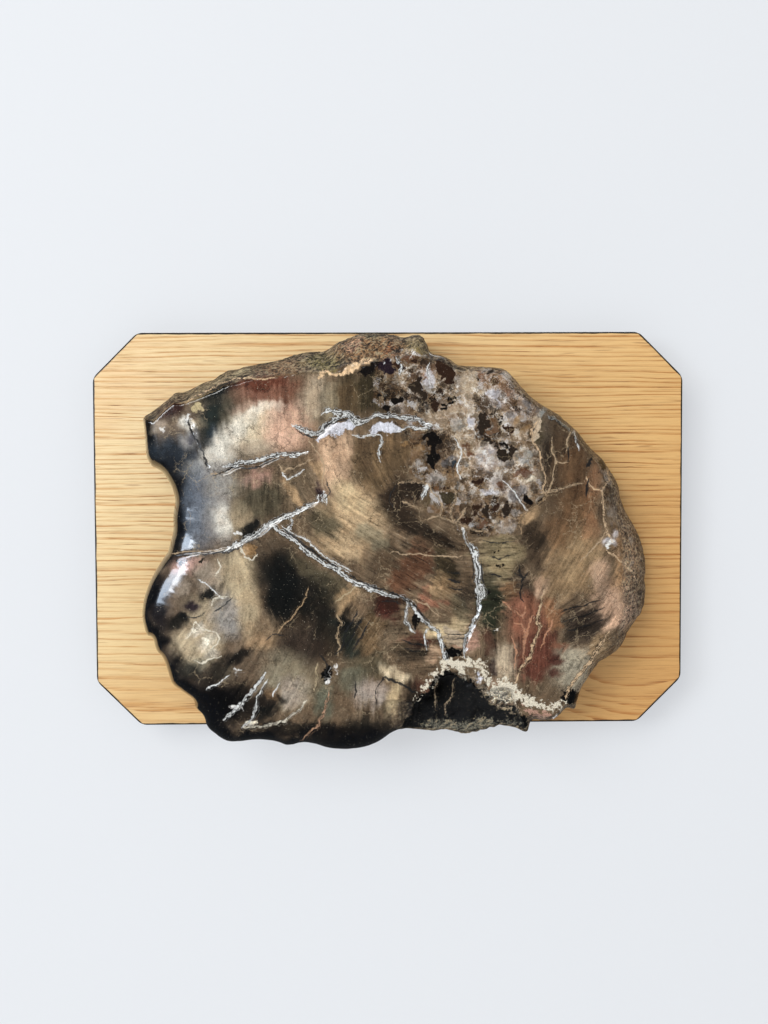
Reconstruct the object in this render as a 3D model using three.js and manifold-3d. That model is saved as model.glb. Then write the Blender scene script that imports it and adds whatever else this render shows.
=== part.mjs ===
import * as THREE from 'three';
import { mergeVertices } from 'three/addons/utils/BufferGeometryUtils.js';
import { ImprovedNoise } from 'three/addons/math/ImprovedNoise.js';
import Module from 'manifold-3d';

// A polished slice of petrified log, bonded to the front of an oak board that hangs on a wall.
// Millimetres. +X to the right, +Z up, the front faces -Y, and the wall is the plane y = 0.

const wasm = await Module();
wasm.setup();

// Oak board
const boardWidth = 300;
const boardHeight = 200;
const boardThickness = 18;
const cornerLeg = 22.6; // how far each corner is clipped along both edges
const cornerRounding = 2.5;
const edgeChamfer = 1.2;
const oakColour = 0xe0b887;
const oakRoughness = 0.5;

// Keyhole slots routed in the back of the board, for two wall screws
const keyholeSpacing = 150;
const keyholeHeight = 58; // of the screw's rest above the board's centre
const keyholeEntryRadius = 5;
const keyholeSlotWidth = 5;
const keyholeTravel = 15;
const keyholeLipDepth = 3.5;
const keyholeDepth = 9;

// Petrified wood slab
const slabThickness = 28; // at the polished face's edge
const domeRise = 1.6; // how much the middle of the face stands above its edge
const bondGap = 0.3; // glue line between the slab and the board
const crownReach = 75; // distance from the edge at which the dome is at its full height
const columnSpacing = 9; // longest step along the outline, in photograph pixels
const backInset = 0.4; // how far in the back starts, besides the margin's tuck
const sideLevels = [ // two rings between the back and the silhouette: part of the tuck, and part of the edge's height
  { tuckPart: 0.6, heightPart: 0.22 },
  { tuckPart: 0.18, heightPart: 0.62 },
];
const sideLumpSize = 7;
const frontLumpSize = 6;
const swellReach = 1.1; // the front's lumps rise and fall again within the margin, a little before its inner end
const swellPower = 0.6; // below 1 for lumps that start steeply
const cutHeight = slabThickness + domeRise * 0.8; // where the cracks and pockets meet the face
const crackTip = 0.15; // half width of a crack where it ends
const cutClearance = 1.2; // how far a crack's wedge stands out of the face
const pocketRise = 0.35; // how far a pocket's middle is above the face, as a part of its depth
const stoneColour = 0x6e5a48;
const stoneRoughness = 0.22;

// Lumps of broken rock, a coarse wave with a finer one on it
const lump = { coarse: 1.3, fine: 0.7, finer: 2.3, shift: 31 };

// Finish of the round shapes and of the joins
const slotSegments = 7;
const roundingSegments = 3;
const chamferSegments = 2;
const weldDistance = 1e-4;

// Where the outline was traced from: the eye in front of the board, its turn, and its focal length in pixels
const photoWidth = 768;
const photoHeight = 1024;
const focalPixels = 1100;
const eye = new THREE.Vector3(-12.05, -578.49, 30.17);
const eyePitch = -2.191;
const eyeYaw = -0.949;
const eyeRoll = 0.229;

// How each stretch of the slab's margin is finished.
// edge: height of the silhouette above the board; round: 1 is a straight bevel, 2 a quarter circle;
// step: ledge where the polished face stops; rough: size of the lumps; tuck: how far the side draws in at the back
const margins = {
  rind: { edge: 9, round: 1.25, step: 1.5, rough: 1.6, tuck: 1.0 },
  knob: { edge: 12, round: 1.7, step: 1.0, rough: 2.3, tuck: 2.0 },
  chipped: { edge: 16, round: 1.5, step: 0.2, rough: 0.9, tuck: 1.5 },
  crumbly: { edge: 8, round: 1.4, step: 0.7, rough: 1.6, tuck: 1.0 },
  foot: { edge: 10, round: 1.6, step: 0.6, rough: 1.4, tuck: 1.5 },
  hollow: { edge: 8, round: 2.4, step: 11, rough: 2.6, tuck: 3.0 },
  polished: { edge: 10, round: 2.1, step: 0, rough: 0.15, tuck: 3.5 },
};

// The outline, clockwise from the left spike: x and y in the photograph, then the margin's width there, in pixels
const outlineRuns = [
  ['rind', [
    [143.3, 416.4, 14], [150.8, 413, 14], [162.4, 404, 12], [170.7, 397.4, 12], [175, 392.6, 14],
    [186.6, 391.8, 14], [198, 385.8, 16], [206, 381.7, 16], [212, 380.8, 15], [226.4, 370.5, 18],
    [232, 370, 17], [257.4, 363.6, 17], [285, 358.4, 20], [298.8, 352.4, 24], [326.3, 351.5, 25],
  ]],
  ['knob', [
    [336.6, 342.9, 30], [352, 336, 34], [367.6, 332.6, 34], [380, 333.3, 32], [395, 335, 26],
    [404.9, 337.5, 22], [413, 335, 22], [419.8, 334.6, 20], [426.4, 340.8, 16],
  ]],
  ['chipped', [
    [428.9, 350.7, 10], [433, 354, 9], [443, 355.7, 9], [450.5, 359.9, 9], [456.3, 364.8, 9],
    [462.9, 365.7, 9], [479.5, 366.5, 9], [497.4, 367.4, 9], [505.7, 369.9, 9], [513, 376.5, 9],
    [519.8, 385.7, 9], [528, 394, 9], [539.7, 403.9, 9], [547.1, 408, 9], [557.9, 413.9, 9],
    [569.5, 424.6, 10], [577.8, 431.3, 10], [586, 442.9, 11],
  ]],
  ['crumbly', [
    [591.9, 450, 12], [600.3, 456.6, 14], [607, 466.5, 16], [615.3, 479, 18], [619.4, 489.8, 18],
    [620.2, 498, 18], [624.4, 510.5, 20], [633, 524, 26], [643, 544.5, 32], [645.3, 560, 34],
    [645.3, 580.8, 34], [645.3, 599, 34], [641.2, 613.5, 30], [629, 627.8, 22], [622.9, 642, 18],
    [614.7, 652.2, 16], [596.3, 662.4, 14],
  ]],
  ['foot', [
    [582, 682.9, 12], [578, 691, 12], [573.9, 709.4, 12], [563.7, 705.3, 10], [557.6, 713.5, 10],
    [547.3, 719.6, 10], [531, 717.6, 12],
  ]],
  ['hollow', [
    [529.6, 721.6, 22], [527, 732.9, 30], [514.7, 726.7, 34], [502.4, 724.7, 42], [486, 728.8, 54],
    [462.7, 734.9, 64], [445.3, 728.8, 62], [435, 730.8, 52], [412.7, 727.8, 32],
  ]],
  ['polished', [
    [394.3, 728.8, 38], [380, 740, 48], [366, 745.8, 52], [348.7, 748.4, 56], [329.8, 747.5, 56],
    [316, 743, 52], [303.9, 740.6, 50], [288.4, 745, 52], [276.4, 739.8, 52], [257.4, 738, 54],
    [240, 740.6, 56], [228, 740.6, 58], [217.8, 734.6, 60], [207.5, 726, 60], [204, 714, 58],
    [195.4, 707, 56], [194.6, 698.4, 54], [186.8, 693, 52], [172.2, 683, 50], [168.7, 670.9, 48],
    [164.4, 657, 46], [156.7, 650, 46], [154, 636.4, 44], [147.2, 634.7, 42], [142.4, 615.8, 42],
    [144.6, 596.8, 42], [152.4, 576, 40], [164.4, 557, 36], [169, 551, 34], [171.5, 539.6, 34],
    [174, 530.5, 36], [173.6, 513, 38], [176.5, 500.6, 36], [173.2, 488, 32], [166.5, 475.8, 28],
    [161.6, 470.5, 26], [152.4, 466.6, 24], [148.3, 458.7, 20], [147, 449.6, 18], [146.2, 433.8, 16],
    [145, 423, 14],
  ]],
];
const outlineCentre = [400, 560]; // a point that sees the whole outline

// Open cracks in the polished face: photograph pixels along each, its width and depth in millimetres
const cracks = [
  { width: 1.9, depth: 1.3, points: [[219.6, 473.7], [235, 466], [260, 464], [278, 455.4], [309.8, 451.3]] },
  { width: 2.4, depth: 1.4, points: [
    [293, 424.7], [303, 432], [318, 435.5], [334.6, 419.8], [351.2, 419.8], [370, 419], [392, 416.4],
    [412, 421], [430, 425],
  ] },
  { width: 1.7, depth: 1.3, points: [
    [172, 556], [206, 551], [235, 546], [260, 533], [282, 517], [311, 505], [321, 500],
  ] },
  { width: 2.3, depth: 1.6, points: [
    [274, 525], [296, 545.4], [333, 565], [365, 581], [396, 597], [416, 605], [432, 628], [444, 656],
  ] },
  { width: 2.2, depth: 1.4, points: [
    [453, 506], [463.5, 533.5], [471.4, 553], [479, 577], [479, 605], [471, 628], [463.5, 656],
  ] },
  { width: 1.8, depth: 1.5, points: [[190, 421], [193, 435], [202, 457], [209, 468]] },
  { width: 1.4, depth: 1.0, points: [[610, 632], [588, 664], [566, 696]] },
];

// Small crystal pockets sunk in the face: centre in photograph pixels, then half width, half height and depth in mm
const pockets = [
  { at: [383, 428], half: [3.6, 2.6], depth: 1.6 },
  { at: [337, 429], half: [4.6, 2.4], depth: 1.2 },
  { at: [494, 462], half: [4.2, 3.0], depth: 1.8 },
  { at: [196, 445], half: [1.7, 3.4], depth: 1.6 },
  { at: [476, 566], half: [1.8, 4.2], depth: 1.5 },
];

// Rings of the slab's mesh: parts of the margin's width, then parts of what is left to the centre
const marginRings = [0.07, 0.2, 0.4, 0.65, 0.9, 1.04];
const faceRings = [0.12, 0.3, 0.52, 0.78];

const degrees = Math.PI / 180;
const eyeTurn = new THREE.Matrix4()
  .makeRotationZ(eyeYaw * degrees)
  .multiply(new THREE.Matrix4().makeRotationX(eyePitch * degrees))
  .multiply(new THREE.Matrix4().makeRotationY(eyeRoll * degrees));
const noise = new ImprovedNoise();

// Carries a pixel of the photograph to its place on the plane that is this high above the board
function placeAtHeight(pixelX, pixelY, height) {
  const ray = new THREE.Vector3(
    (pixelX - photoWidth / 2) / focalPixels,
    1,
    (photoHeight / 2 - pixelY) / focalPixels,
  ).applyMatrix4(eyeTurn);
  const depth = -(boardThickness + bondGap + height);
  return ray.multiplyScalar((depth - eye.y) / ray.y).add(eye);
}

function mix(from, to, share) {
  return from + (to - from) * share;
}

function lumps(point, size) {
  const coarse = noise.noise(point.x / size, point.y / size, point.z / size);
  const finer = point.clone().multiplyScalar(lump.finer / size);
  const fine = noise.noise(finer.x + lump.shift, finer.y, finer.z);
  return coarse * lump.coarse + fine * lump.fine;
}

// The outline's own points with points added between those that are far apart, each with its margin
function outlineColumns() {
  const corners = outlineRuns.flatMap(([name, points]) => points.map(([x, y, width]) => ({
    x, y, width, ...margins[name],
  })));
  const columns = [];
  corners.forEach((corner, index) => {
    const next = corners[(index + 1) % corners.length];
    const span = Math.hypot(next.x - corner.x, next.y - corner.y);
    const steps = Math.ceil(span / columnSpacing);
    for (let step = 0; step < steps; step += 1) {
      const share = step / steps;
      const column = {};
      for (const key of Object.keys(corner)) column[key] = mix(corner[key], next[key], share);
      columns.push(column);
    }
  });
  return columns;
}

// Height of the front above the board, at a part of the margin's width and a distance in from the edge
function frontHeight(column, marginPart, distanceIn) {
  const crown = Math.min(distanceIn / crownReach, 1);
  const face = slabThickness + domeRise * (1 - (1 - crown) ** 2);
  if (marginPart >= 1) return face;
  const top = slabThickness - column.step;
  const fall = (1 - marginPart) ** column.round;
  return column.edge + (top - column.edge) * (1 - fall) ** (1 / column.round);
}

// One closed ring after another, from the middle of the back, out round the side, to the middle of the front
function slabRings(columns) {
  const centre = placeAtHeight(...outlineCentre, slabThickness);
  const back = [];
  const sides = sideLevels.map(() => []);
  const edges = [];
  const front = [...marginRings, ...faceRings].map(() => []);
  for (const column of columns) {
    const edge = placeAtHeight(column.x, column.y, column.edge);
    const inward = new THREE.Vector3(centre.x - edge.x, 0, centre.z - edge.z);
    const reach = inward.length();
    inward.normalize();
    const at = (distanceIn, height) => {
      const point = edge.clone().addScaledVector(inward, distanceIn);
      point.y = -(boardThickness + bondGap + height);
      return point;
    };
    back.push(at(column.tuck + backInset, 0));
    sideLevels.forEach(({ tuckPart, heightPart }, index) => {
      const point = at(column.tuck * tuckPart, column.edge * heightPart);
      const dent = Math.max(lumps(point, sideLumpSize) * column.rough, 0);
      sides[index].push(point.addScaledVector(inward, dent));
    });
    edges.push(edge);
    const millimetresPerPixel = (boardThickness + bondGap + column.edge + eye.y) / -focalPixels;
    const width = column.width * millimetresPerPixel;
    marginRings.forEach((part, index) => {
      const point = at(width * part, frontHeight(column, part, width * part));
      const share = part < 1 ? Math.sin(Math.PI * Math.min(part * swellReach, 1)) ** swellPower : 0;
      point.y += lumps(point, frontLumpSize) * column.rough * share;
      front[index].push(point);
    });
    const rest = reach - width * marginRings.at(-1);
    faceRings.forEach((part, index) => {
      const distanceIn = width * marginRings.at(-1) + rest * part;
      front[marginRings.length + index].push(at(distanceIn, frontHeight(column, 1, distanceIn)));
    });
  }
  const backCentre = centre.clone().setY(-(boardThickness + bondGap));
  const frontCentre = centre.clone().setY(-(boardThickness + bondGap + slabThickness + domeRise));
  return { backCentre, frontCentre, rings: [back, ...sides, edges, ...front] };
}

function slabBlank() {
  const { backCentre, frontCentre, rings } = slabRings(outlineColumns());
  const count = rings[0].length;
  const points = [backCentre, ...rings.flat(), frontCentre];
  const index = [];
  const last = points.length - 1;
  const lastRing = 1 + (rings.length - 1) * count;
  for (let column = 0; column < count; column += 1) {
    const next = (column + 1) % count;
    index.push(0, 1 + column, 1 + next);
    for (let ring = 0; ring < rings.length - 1; ring += 1) {
      const low = 1 + ring * count;
      const high = low + count;
      index.push(low + column, high + column, high + next);
      index.push(low + column, high + next, low + next);
    }
    index.push(lastRing + column, last, lastRing + next);
  }
  const geometry = new THREE.BufferGeometry().setFromPoints(points);
  geometry.setIndex(index);
  return geometry;
}

// A long V-shaped wedge that follows a crack and ends in a point at both ends
function crackWedge({ width, depth, points }) {
  const path = points.map(([x, y]) => placeAtHeight(x, y, cutHeight));
  const vertices = [];
  const index = [];
  path.forEach((point, place) => {
    const before = path[Math.max(place - 1, 0)];
    const after = path[Math.min(place + 1, path.length - 1)];
    const across = new THREE.Vector3(after.z - before.z, 0, before.x - after.x).normalize();
    const isEnd = place === 0 || place === path.length - 1;
    const half = isEnd ? crackTip : width / 2 * (1 + cutClearance / depth);
    vertices.push(
      point.clone().addScaledVector(across, half).setY(point.y - cutClearance),
      point.clone().addScaledVector(across, -half).setY(point.y - cutClearance),
      point.clone().setY(point.y + (isEnd ? -cutClearance / 2 : depth)),
    );
  });
  for (let place = 0; place < path.length - 1; place += 1) {
    for (let side = 0; side < 3; side += 1) {
      const a = place * 3 + side;
      const b = place * 3 + (side + 1) % 3;
      index.push(a, b, b + 3, a, b + 3, a + 3);
    }
  }
  const end = vertices.length - 3;
  index.push(0, 2, 1, end, end + 1, end + 2);
  const geometry = new THREE.BufferGeometry().setFromPoints(vertices);
  geometry.setIndex(index);
  return geometry;
}

// A faceted lens whose lower half sinks into the face
function pocketLens({ at, half, depth }) {
  const { x, y, z } = placeAtHeight(...at, cutHeight);
  return new THREE.IcosahedronGeometry(1, 1)
    .scale(half[0], depth * (1 + pocketRise), half[1])
    .translate(x, y - depth * pocketRise, z);
}

// The volume inside a closed mesh, negative where its faces point inwards
function signedVolume(geometry) {
  const { position } = geometry.attributes;
  const corner = [0, 1, 2].map(() => new THREE.Vector3());
  let volume = 0;
  for (let place = 0; place < geometry.index.count; place += 3) {
    corner.forEach((point, side) => point.fromBufferAttribute(position, geometry.index.getX(place + side)));
    volume += corner[0].dot(corner[1].clone().cross(corner[2])) / 6;
  }
  return volume;
}

function toSolid(source) {
  const bare = source.clone();
  bare.deleteAttribute('normal');
  bare.deleteAttribute('uv');
  const geometry = mergeVertices(bare, weldDistance);
  const triVerts = Uint32Array.from(geometry.index.array);
  if (signedVolume(geometry) < 0) {
    for (let place = 0; place < triVerts.length; place += 3) {
      [triVerts[place], triVerts[place + 1]] = [triVerts[place + 1], triVerts[place]];
    }
  }
  const vertProperties = Float32Array.from(geometry.attributes.position.array);
  return new wasm.Manifold(new wasm.Mesh({ numProp: 3, vertProperties, triVerts }));
}

function toGeometry(solid) {
  const { vertProperties, triVerts } = solid.getMesh();
  const geometry = new THREE.BufferGeometry();
  geometry.setAttribute('position', new THREE.BufferAttribute(vertProperties, 3));
  geometry.setIndex(new THREE.BufferAttribute(triVerts, 1));
  geometry.computeVertexNormals();
  return geometry;
}

function makeSlab() {
  let slab = toSolid(slabBlank());
  for (const crack of cracks) slab = slab.subtract(toSolid(crackWedge(crack)));
  for (const pocket of pockets) slab = slab.subtract(toSolid(pocketLens(pocket)));
  const material = new THREE.MeshStandardMaterial({ color: stoneColour, roughness: stoneRoughness, metalness: 0 });
  const mesh = new THREE.Mesh(toGeometry(slab), material);
  mesh.name = 'petrified_wood_slab';
  return mesh;
}

// The board's outline, drawn inside the chamfer: eight straight sides whose corners are slightly rounded
function boardShape() {
  const halfWidth = boardWidth / 2 - edgeChamfer;
  const halfHeight = boardHeight / 2 - edgeChamfer;
  const leg = cornerLeg - edgeChamfer * (2 - Math.SQRT2);
  const corners = [
    [halfWidth - leg, -halfHeight], [halfWidth, leg - halfHeight],
    [halfWidth, halfHeight - leg], [halfWidth - leg, halfHeight],
    [leg - halfWidth, halfHeight], [-halfWidth, halfHeight - leg],
    [-halfWidth, leg - halfHeight], [leg - halfWidth, -halfHeight],
  ].map(([x, y]) => new THREE.Vector2(x, y));
  const shape = new THREE.Shape();
  corners.forEach((corner, place) => {
    const before = corners.at(place - 1).clone().sub(corner).setLength(cornerRounding).add(corner);
    const after = corners[(place + 1) % corners.length].clone().sub(corner).setLength(cornerRounding).add(corner);
    if (place === 0) shape.moveTo(before.x, before.y);
    else shape.lineTo(before.x, before.y);
    shape.quadraticCurveTo(corner.x, corner.y, after.x, after.y);
  });
  shape.closePath();
  return shape;
}

// A slot with round ends, from the screw's rest down to where its head goes in
function slotShape(halfWidth) {
  const shape = new THREE.Shape();
  shape.absarc(0, 0, halfWidth, 0, Math.PI, false);
  shape.absarc(0, -keyholeTravel, halfWidth, Math.PI, Math.PI * 2, false);
  shape.closePath();
  return shape;
}

function entryShape() {
  const shape = new THREE.Shape();
  shape.absarc(0, -keyholeTravel, keyholeEntryRadius, 0, Math.PI * 2, false);
  return shape;
}

function cutter(shape, from, to) {
  const geometry = new THREE.ExtrudeGeometry(shape, {
    depth: to - from,
    bevelEnabled: false,
    curveSegments: slotSegments,
  });
  return toSolid(geometry.translate(0, 0, from));
}

function makeBoard() {
  const plank = new THREE.ExtrudeGeometry(boardShape(), {
    depth: boardThickness - 2 * edgeChamfer,
    bevelThickness: edgeChamfer,
    bevelSize: edgeChamfer,
    bevelSegments: chamferSegments,
    curveSegments: roundingSegments,
  }).translate(0, 0, edgeChamfer);
  const outside = -1; // a cutter starts this far behind the board's back
  const keyhole = cutter(slotShape(keyholeSlotWidth / 2), outside, keyholeDepth)
    .add(cutter(slotShape(keyholeEntryRadius), keyholeLipDepth, keyholeDepth))
    .add(cutter(entryShape(), outside, keyholeDepth));
  let board = toSolid(plank);
  for (const side of [-1, 1]) {
    board = board.subtract(keyhole.translate([side * keyholeSpacing / 2, keyholeHeight, 0]));
  }
  const material = new THREE.MeshStandardMaterial({ color: oakColour, roughness: oakRoughness, metalness: 0 });
  const mesh = new THREE.Mesh(toGeometry(board), material);
  mesh.name = 'oak_board';
  mesh.rotation.x = Math.PI / 2; // drawn lying on its back, stood up against the wall
  return mesh;
}

const sculpture = new THREE.Group();
sculpture.add(makeBoard(), makeSlab());

export default sculpture;
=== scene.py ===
import itertools
import math

import bpy
import numpy as np
from mathutils import Matrix, Vector
from mathutils.geometry import delaunay_2d_cdt


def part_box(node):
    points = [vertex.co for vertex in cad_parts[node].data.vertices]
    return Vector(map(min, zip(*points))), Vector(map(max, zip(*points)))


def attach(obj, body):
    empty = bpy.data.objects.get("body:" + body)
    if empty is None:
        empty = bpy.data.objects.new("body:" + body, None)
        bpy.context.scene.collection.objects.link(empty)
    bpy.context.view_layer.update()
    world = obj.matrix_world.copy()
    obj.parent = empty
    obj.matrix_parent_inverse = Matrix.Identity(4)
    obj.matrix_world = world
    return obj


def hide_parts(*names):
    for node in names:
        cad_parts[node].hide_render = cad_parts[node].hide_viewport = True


# Petrified wood slab bonded to an oak board that hangs on a wall.
# The frame is in metres, the sizes here are in millimetres, and the front faces -Y.

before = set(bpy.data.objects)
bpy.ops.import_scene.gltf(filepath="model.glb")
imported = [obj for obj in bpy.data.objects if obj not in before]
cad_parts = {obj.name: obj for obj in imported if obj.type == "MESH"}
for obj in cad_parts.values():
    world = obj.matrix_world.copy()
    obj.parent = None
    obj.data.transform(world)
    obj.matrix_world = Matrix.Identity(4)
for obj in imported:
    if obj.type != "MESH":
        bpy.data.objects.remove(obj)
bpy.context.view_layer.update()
scene = bpy.context.scene
scene.view_settings.view_transform = "Standard"
mm = 0.001
print("frame loaded:", sorted(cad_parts))


# Adding and selecting objects

def addObject(name, data):
    piece = bpy.data.objects.new(name, data)
    scene.collection.objects.link(piece)
    return piece


def deselectAll():
    bpy.ops.object.select_all(action="DESELECT")


def selectOnly(piece):
    deselectAll()
    piece.select_set(True)
    bpy.context.view_layer.objects.active = piece


# Camera, where the photograph was taken from

camera = {
    "eye": (-12.05, -578.49, 30.17),
    "pitch": -2.191,  # degrees
    "yaw": -0.949,
    "roll": 0.229,
    "focal": 1100,  # pixels
    "imageWidth": 768,
    "imageHeight": 1024,
    "sensor": 36,
}


def eyeTurn():
    yaw = Matrix.Rotation(math.radians(camera["yaw"]), 3, "Z")
    pitch = Matrix.Rotation(math.radians(camera["pitch"]), 3, "X")
    roll = Matrix.Rotation(math.radians(camera["roll"]), 3, "Y")
    return yaw @ pitch @ roll


def makeCamera():
    data = bpy.data.cameras.new("camera")
    data.sensor_width = camera["sensor"]
    data.lens = camera["focal"] / camera["imageHeight"] * camera["sensor"]
    data.clip_start = 0.01
    eye = addObject("camera", data)
    standUp = Matrix.Rotation(math.radians(90), 3, "X")
    place = Matrix.Translation(Vector(camera["eye"]) * mm)
    eye.matrix_world = place @ (eyeTurn() @ standUp).to_4x4()
    scene.camera = eye


makeCamera()
print("camera placed")


# Node helpers: a socket that does arithmetic, and a tree that makes any other node

class Value:
    def __init__(self, tree, socket):
        self.tree = tree
        self.socket = socket

    def maths(self, operation, *others, clamp=False):
        inputs = dict(enumerate([self, *others]))
        return self.tree.make("Math", {"operation": operation, "use_clamp": clamp}, inputs)

    def __add__(self, other):
        return self.maths("ADD", other)

    __radd__ = __add__

    def __mul__(self, other):
        return self.maths("MULTIPLY", other)

    __rmul__ = __mul__

    def __sub__(self, other):
        return self.maths("SUBTRACT", other)

    def __rsub__(self, other):
        return self.tree.make("Math", {"operation": "SUBTRACT"}, {0: other, 1: self})

    def __truediv__(self, other):
        return self.maths("DIVIDE", other)

    def __rtruediv__(self, other):
        return self.tree.make("Math", {"operation": "DIVIDE"}, {0: other, 1: self})

    def __pow__(self, other):
        return self.maths("POWER", other)

    def __abs__(self):
        return self.maths("ABSOLUTE")

    def most(self, other):
        return self.maths("MAXIMUM", other)

    def clamped(self):
        return self.maths("ADD", 0, clamp=True)


def linear(tone):
    def channel(value):
        share = value / 255
        return share / 12.92 if share <= 0.04045 else ((share + 0.055) / 1.055) ** 2.4
    return (*(channel(value) for value in tone), 1.0)


class Tree:
    def __init__(self, tree):
        self.tree = tree
        tree.nodes.clear()

    def make(self, kind, settings=None, inputs=None, output=0):
        node = self.tree.nodes.new("ShaderNode" + kind)
        for name, setting in (settings or {}).items():
            if name == "stops":
                self.setStops(node.color_ramp, setting)
            else:
                setattr(node, name, setting)
        for name, value in (inputs or {}).items():
            if isinstance(value, Value):
                self.tree.links.new(value.socket, node.inputs[name])
            else:
                node.inputs[name].default_value = value
        return Value(self, node.outputs[output])

    def setStops(self, ramp, stops):
        while len(ramp.elements) < len(stops):
            ramp.elements.new(0.5)
        for element, (place, tone) in zip(ramp.elements, stops):
            element.position = place
            element.color = linear(tone)

    def mix(self, factor, first, second, blend="MIX"):
        settings = {"data_type": "RGBA", "blend_type": blend, "clamp_factor": True}
        inputs = {0: factor, 6: first, 7: second}
        for place in (6, 7):
            if isinstance(inputs[place], tuple) and len(inputs[place]) == 3:
                inputs[place] = linear(inputs[place])
        return self.make("Mix", settings, inputs, 2)

    def ramp(self, factor, *stops):
        return self.make("ValToRGB", {"stops": stops}, {0: factor})

    def step(self, value, start, end, low=0.0, high=1.0):
        settings = {"interpolation_type": "SMOOTHSTEP"}
        return self.make("MapRange", settings, {0: value, 1: start, 2: end, 3: low, 4: high})

    def place(self, scale=1):
        return self.stretch(self.make("TexCoord", output="Object"), (scale, scale, scale))

    def noise(self, spot, scale, detail=2.0, roughness=0.5, output=0):
        inputs = {"Vector": spot, "Scale": scale, "Detail": detail, "Roughness": roughness}
        return self.make("TexNoise", None, inputs, output)

    def stretch(self, spot, scale, shift=(0, 0, 0)):
        return self.make("Mapping", None, {"Vector": spot, "Scale": scale, "Location": shift})

    def turned(self, spot, angle, size):
        inputs = {"Vector": spot, "Rotation": (0, math.radians(angle), 0), "Scale": size}
        return self.make("Mapping", {"vector_type": "TEXTURE"}, inputs)

    def cells(self, spot, scale, feature, output):
        return self.make("TexVoronoi", {"feature": feature}, {"Vector": spot, "Scale": scale}, output)

    def drawnNoise(self, spot, scale, detail=2.0, roughness=0.5, shift=(0, 0, 0)):
        return self.noise(self.stretch(spot, scale, shift), 1.0, detail, roughness)

    def attribute(self, name, output="Fac"):
        return self.make("Attribute", {"attribute_name": name}, output=output)

    def axis(self, spot, name):
        return self.make("SeparateXYZ", None, {0: spot}, name)

    def channel(self, tone, name):
        return self.make("SeparateColor", None, {0: tone}, name)

    def brightness(self, tone):
        return self.make("RGBToBW", None, {0: tone})

    def shade(self, tone, value):
        grey = self.make("CombineColor", None, {0: value, 1: value, 2: value})
        return self.mix(1.0, tone, grey, "MULTIPLY")


def newMaterial(name):
    material = bpy.data.materials.new(name)
    material.use_nodes = True
    return material, Tree(material.node_tree)


# Wall, floor and light

studio = {
    "wallTone": (150, 151, 153),
    "wallGlow": 0.475,
    "glowTone": (0.975, 0.995, 1.03),
    "paintRoughness": 0.85,
    "wallPlane": 0.6,  # just behind the board's back
    "wallSpread": 40,  # how many times larger than the board the wall is
    "openingInset": 5,  # the wall is open behind the board, so that its back can be seen
    "floorDrop": 900,
    "floorSize": 4000,
    "ambient": 0.66,
    "ambientTone": (0.93, 0.97, 1.0),
    "ambientSeen": 0.2,  # how much brighter the room is where the camera sees it
    "reflected": 0.045,  # how bright the dark room is in the polished stone
}

# Lengths are in millimetres, aside and up in degrees from the wall's normal;
# onMatt and inPolish say which surfaces a light shows on
lights = {
    "window light": {
        "away": 3000, "aside": -34, "up": 24, "width": 1700, "height": 2000, "power": 50,
        "tone": (1.0, 0.985, 0.95), "onMatt": True, "inPolish": True,
    },
    "side window": {
        "away": 2600, "aside": -47, "up": 9, "width": 900, "height": 900, "power": 17,
        "tone": (0.80, 0.90, 1.0), "onMatt": True, "inPolish": False,
    },
    "window in the polish": {
        "away": 2600, "aside": -47, "up": 11, "width": 2500, "height": 620, "power": 34,
        "tone": (0.72, 0.84, 1.0), "onMatt": False, "inPolish": True,
    },
    "back light": {
        "away": 1500, "aside": 180, "up": 20, "width": 1200, "height": 1200, "power": 24,
        "tone": (1, 1, 1), "onMatt": True, "inPolish": True,
    },
}


def stageMaterial(name, oneSided):
    material, tree = newMaterial(name)
    spot = tree.place()
    cloud = tree.noise(spot, 2.0, 3.0)
    tone = tree.mix(cloud, studio["wallTone"], tuple(value - 3 for value in studio["wallTone"]))
    grain = tree.noise(spot, 900.0, 2.0)
    bump = tree.make("Bump", None, {"Strength": 0.03, "Distance": 0.001, "Height": grain})
    surface = tree.make("BsdfPrincipled", None, {
        "Base Color": tone, "Roughness": studio["paintRoughness"], "Normal": bump,
        "Emission Color": (*studio["glowTone"], 1), "Emission Strength": studio["wallGlow"],
    })
    if oneSided:
        behind = tree.make("NewGeometry", output="Backfacing")
        clear = tree.make("BsdfTransparent")
        surface = tree.make("MixShader", None, {0: behind, 1: surface, 2: clear})
    finishTree(tree, surface)
    return material


def finishTree(tree, surface):
    node = tree.tree.nodes.new("ShaderNodeOutputMaterial")
    tree.tree.links.new(surface.socket, node.inputs["Surface"])


def boardHalves():
    low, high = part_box("oak_board")
    return (high.x - low.x) / 2 / mm, (high.z - low.z) / 2 / mm


def octagon(inset):
    halfWidth, halfHeight = (half - inset for half in boardHalves())
    leg = boardShape["cornerLeg"] - inset * (2 - math.sqrt(2))
    return [
        (halfWidth - leg, halfHeight), (halfWidth, halfHeight - leg), (halfWidth, leg - halfHeight),
        (halfWidth - leg, -halfHeight), (leg - halfWidth, -halfHeight), (-halfWidth, leg - halfHeight),
        (-halfWidth, halfHeight - leg), (leg - halfWidth, halfHeight),
    ]


def makeWall():
    inner = octagon(studio["openingInset"])
    spread = studio["wallSpread"]
    points = [Vector((x, studio["wallPlane"], z)) * mm for x, z in inner]
    points += [Vector((x * spread, studio["wallPlane"], z * spread)) * mm for x, z in inner]
    faces = [(place, (place + 1) % 8, 8 + (place + 1) % 8, 8 + place) for place in range(8)]
    mesh = bpy.data.meshes.new("wall")
    mesh.from_pydata(points, [], faces)
    wall = addObject("wall", mesh)
    mesh.materials.append(stageMaterial("wall paint", True))
    if mesh.polygons[0].normal.y > 0:
        mesh.flip_normals()
    wall.visible_glossy = False


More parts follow.
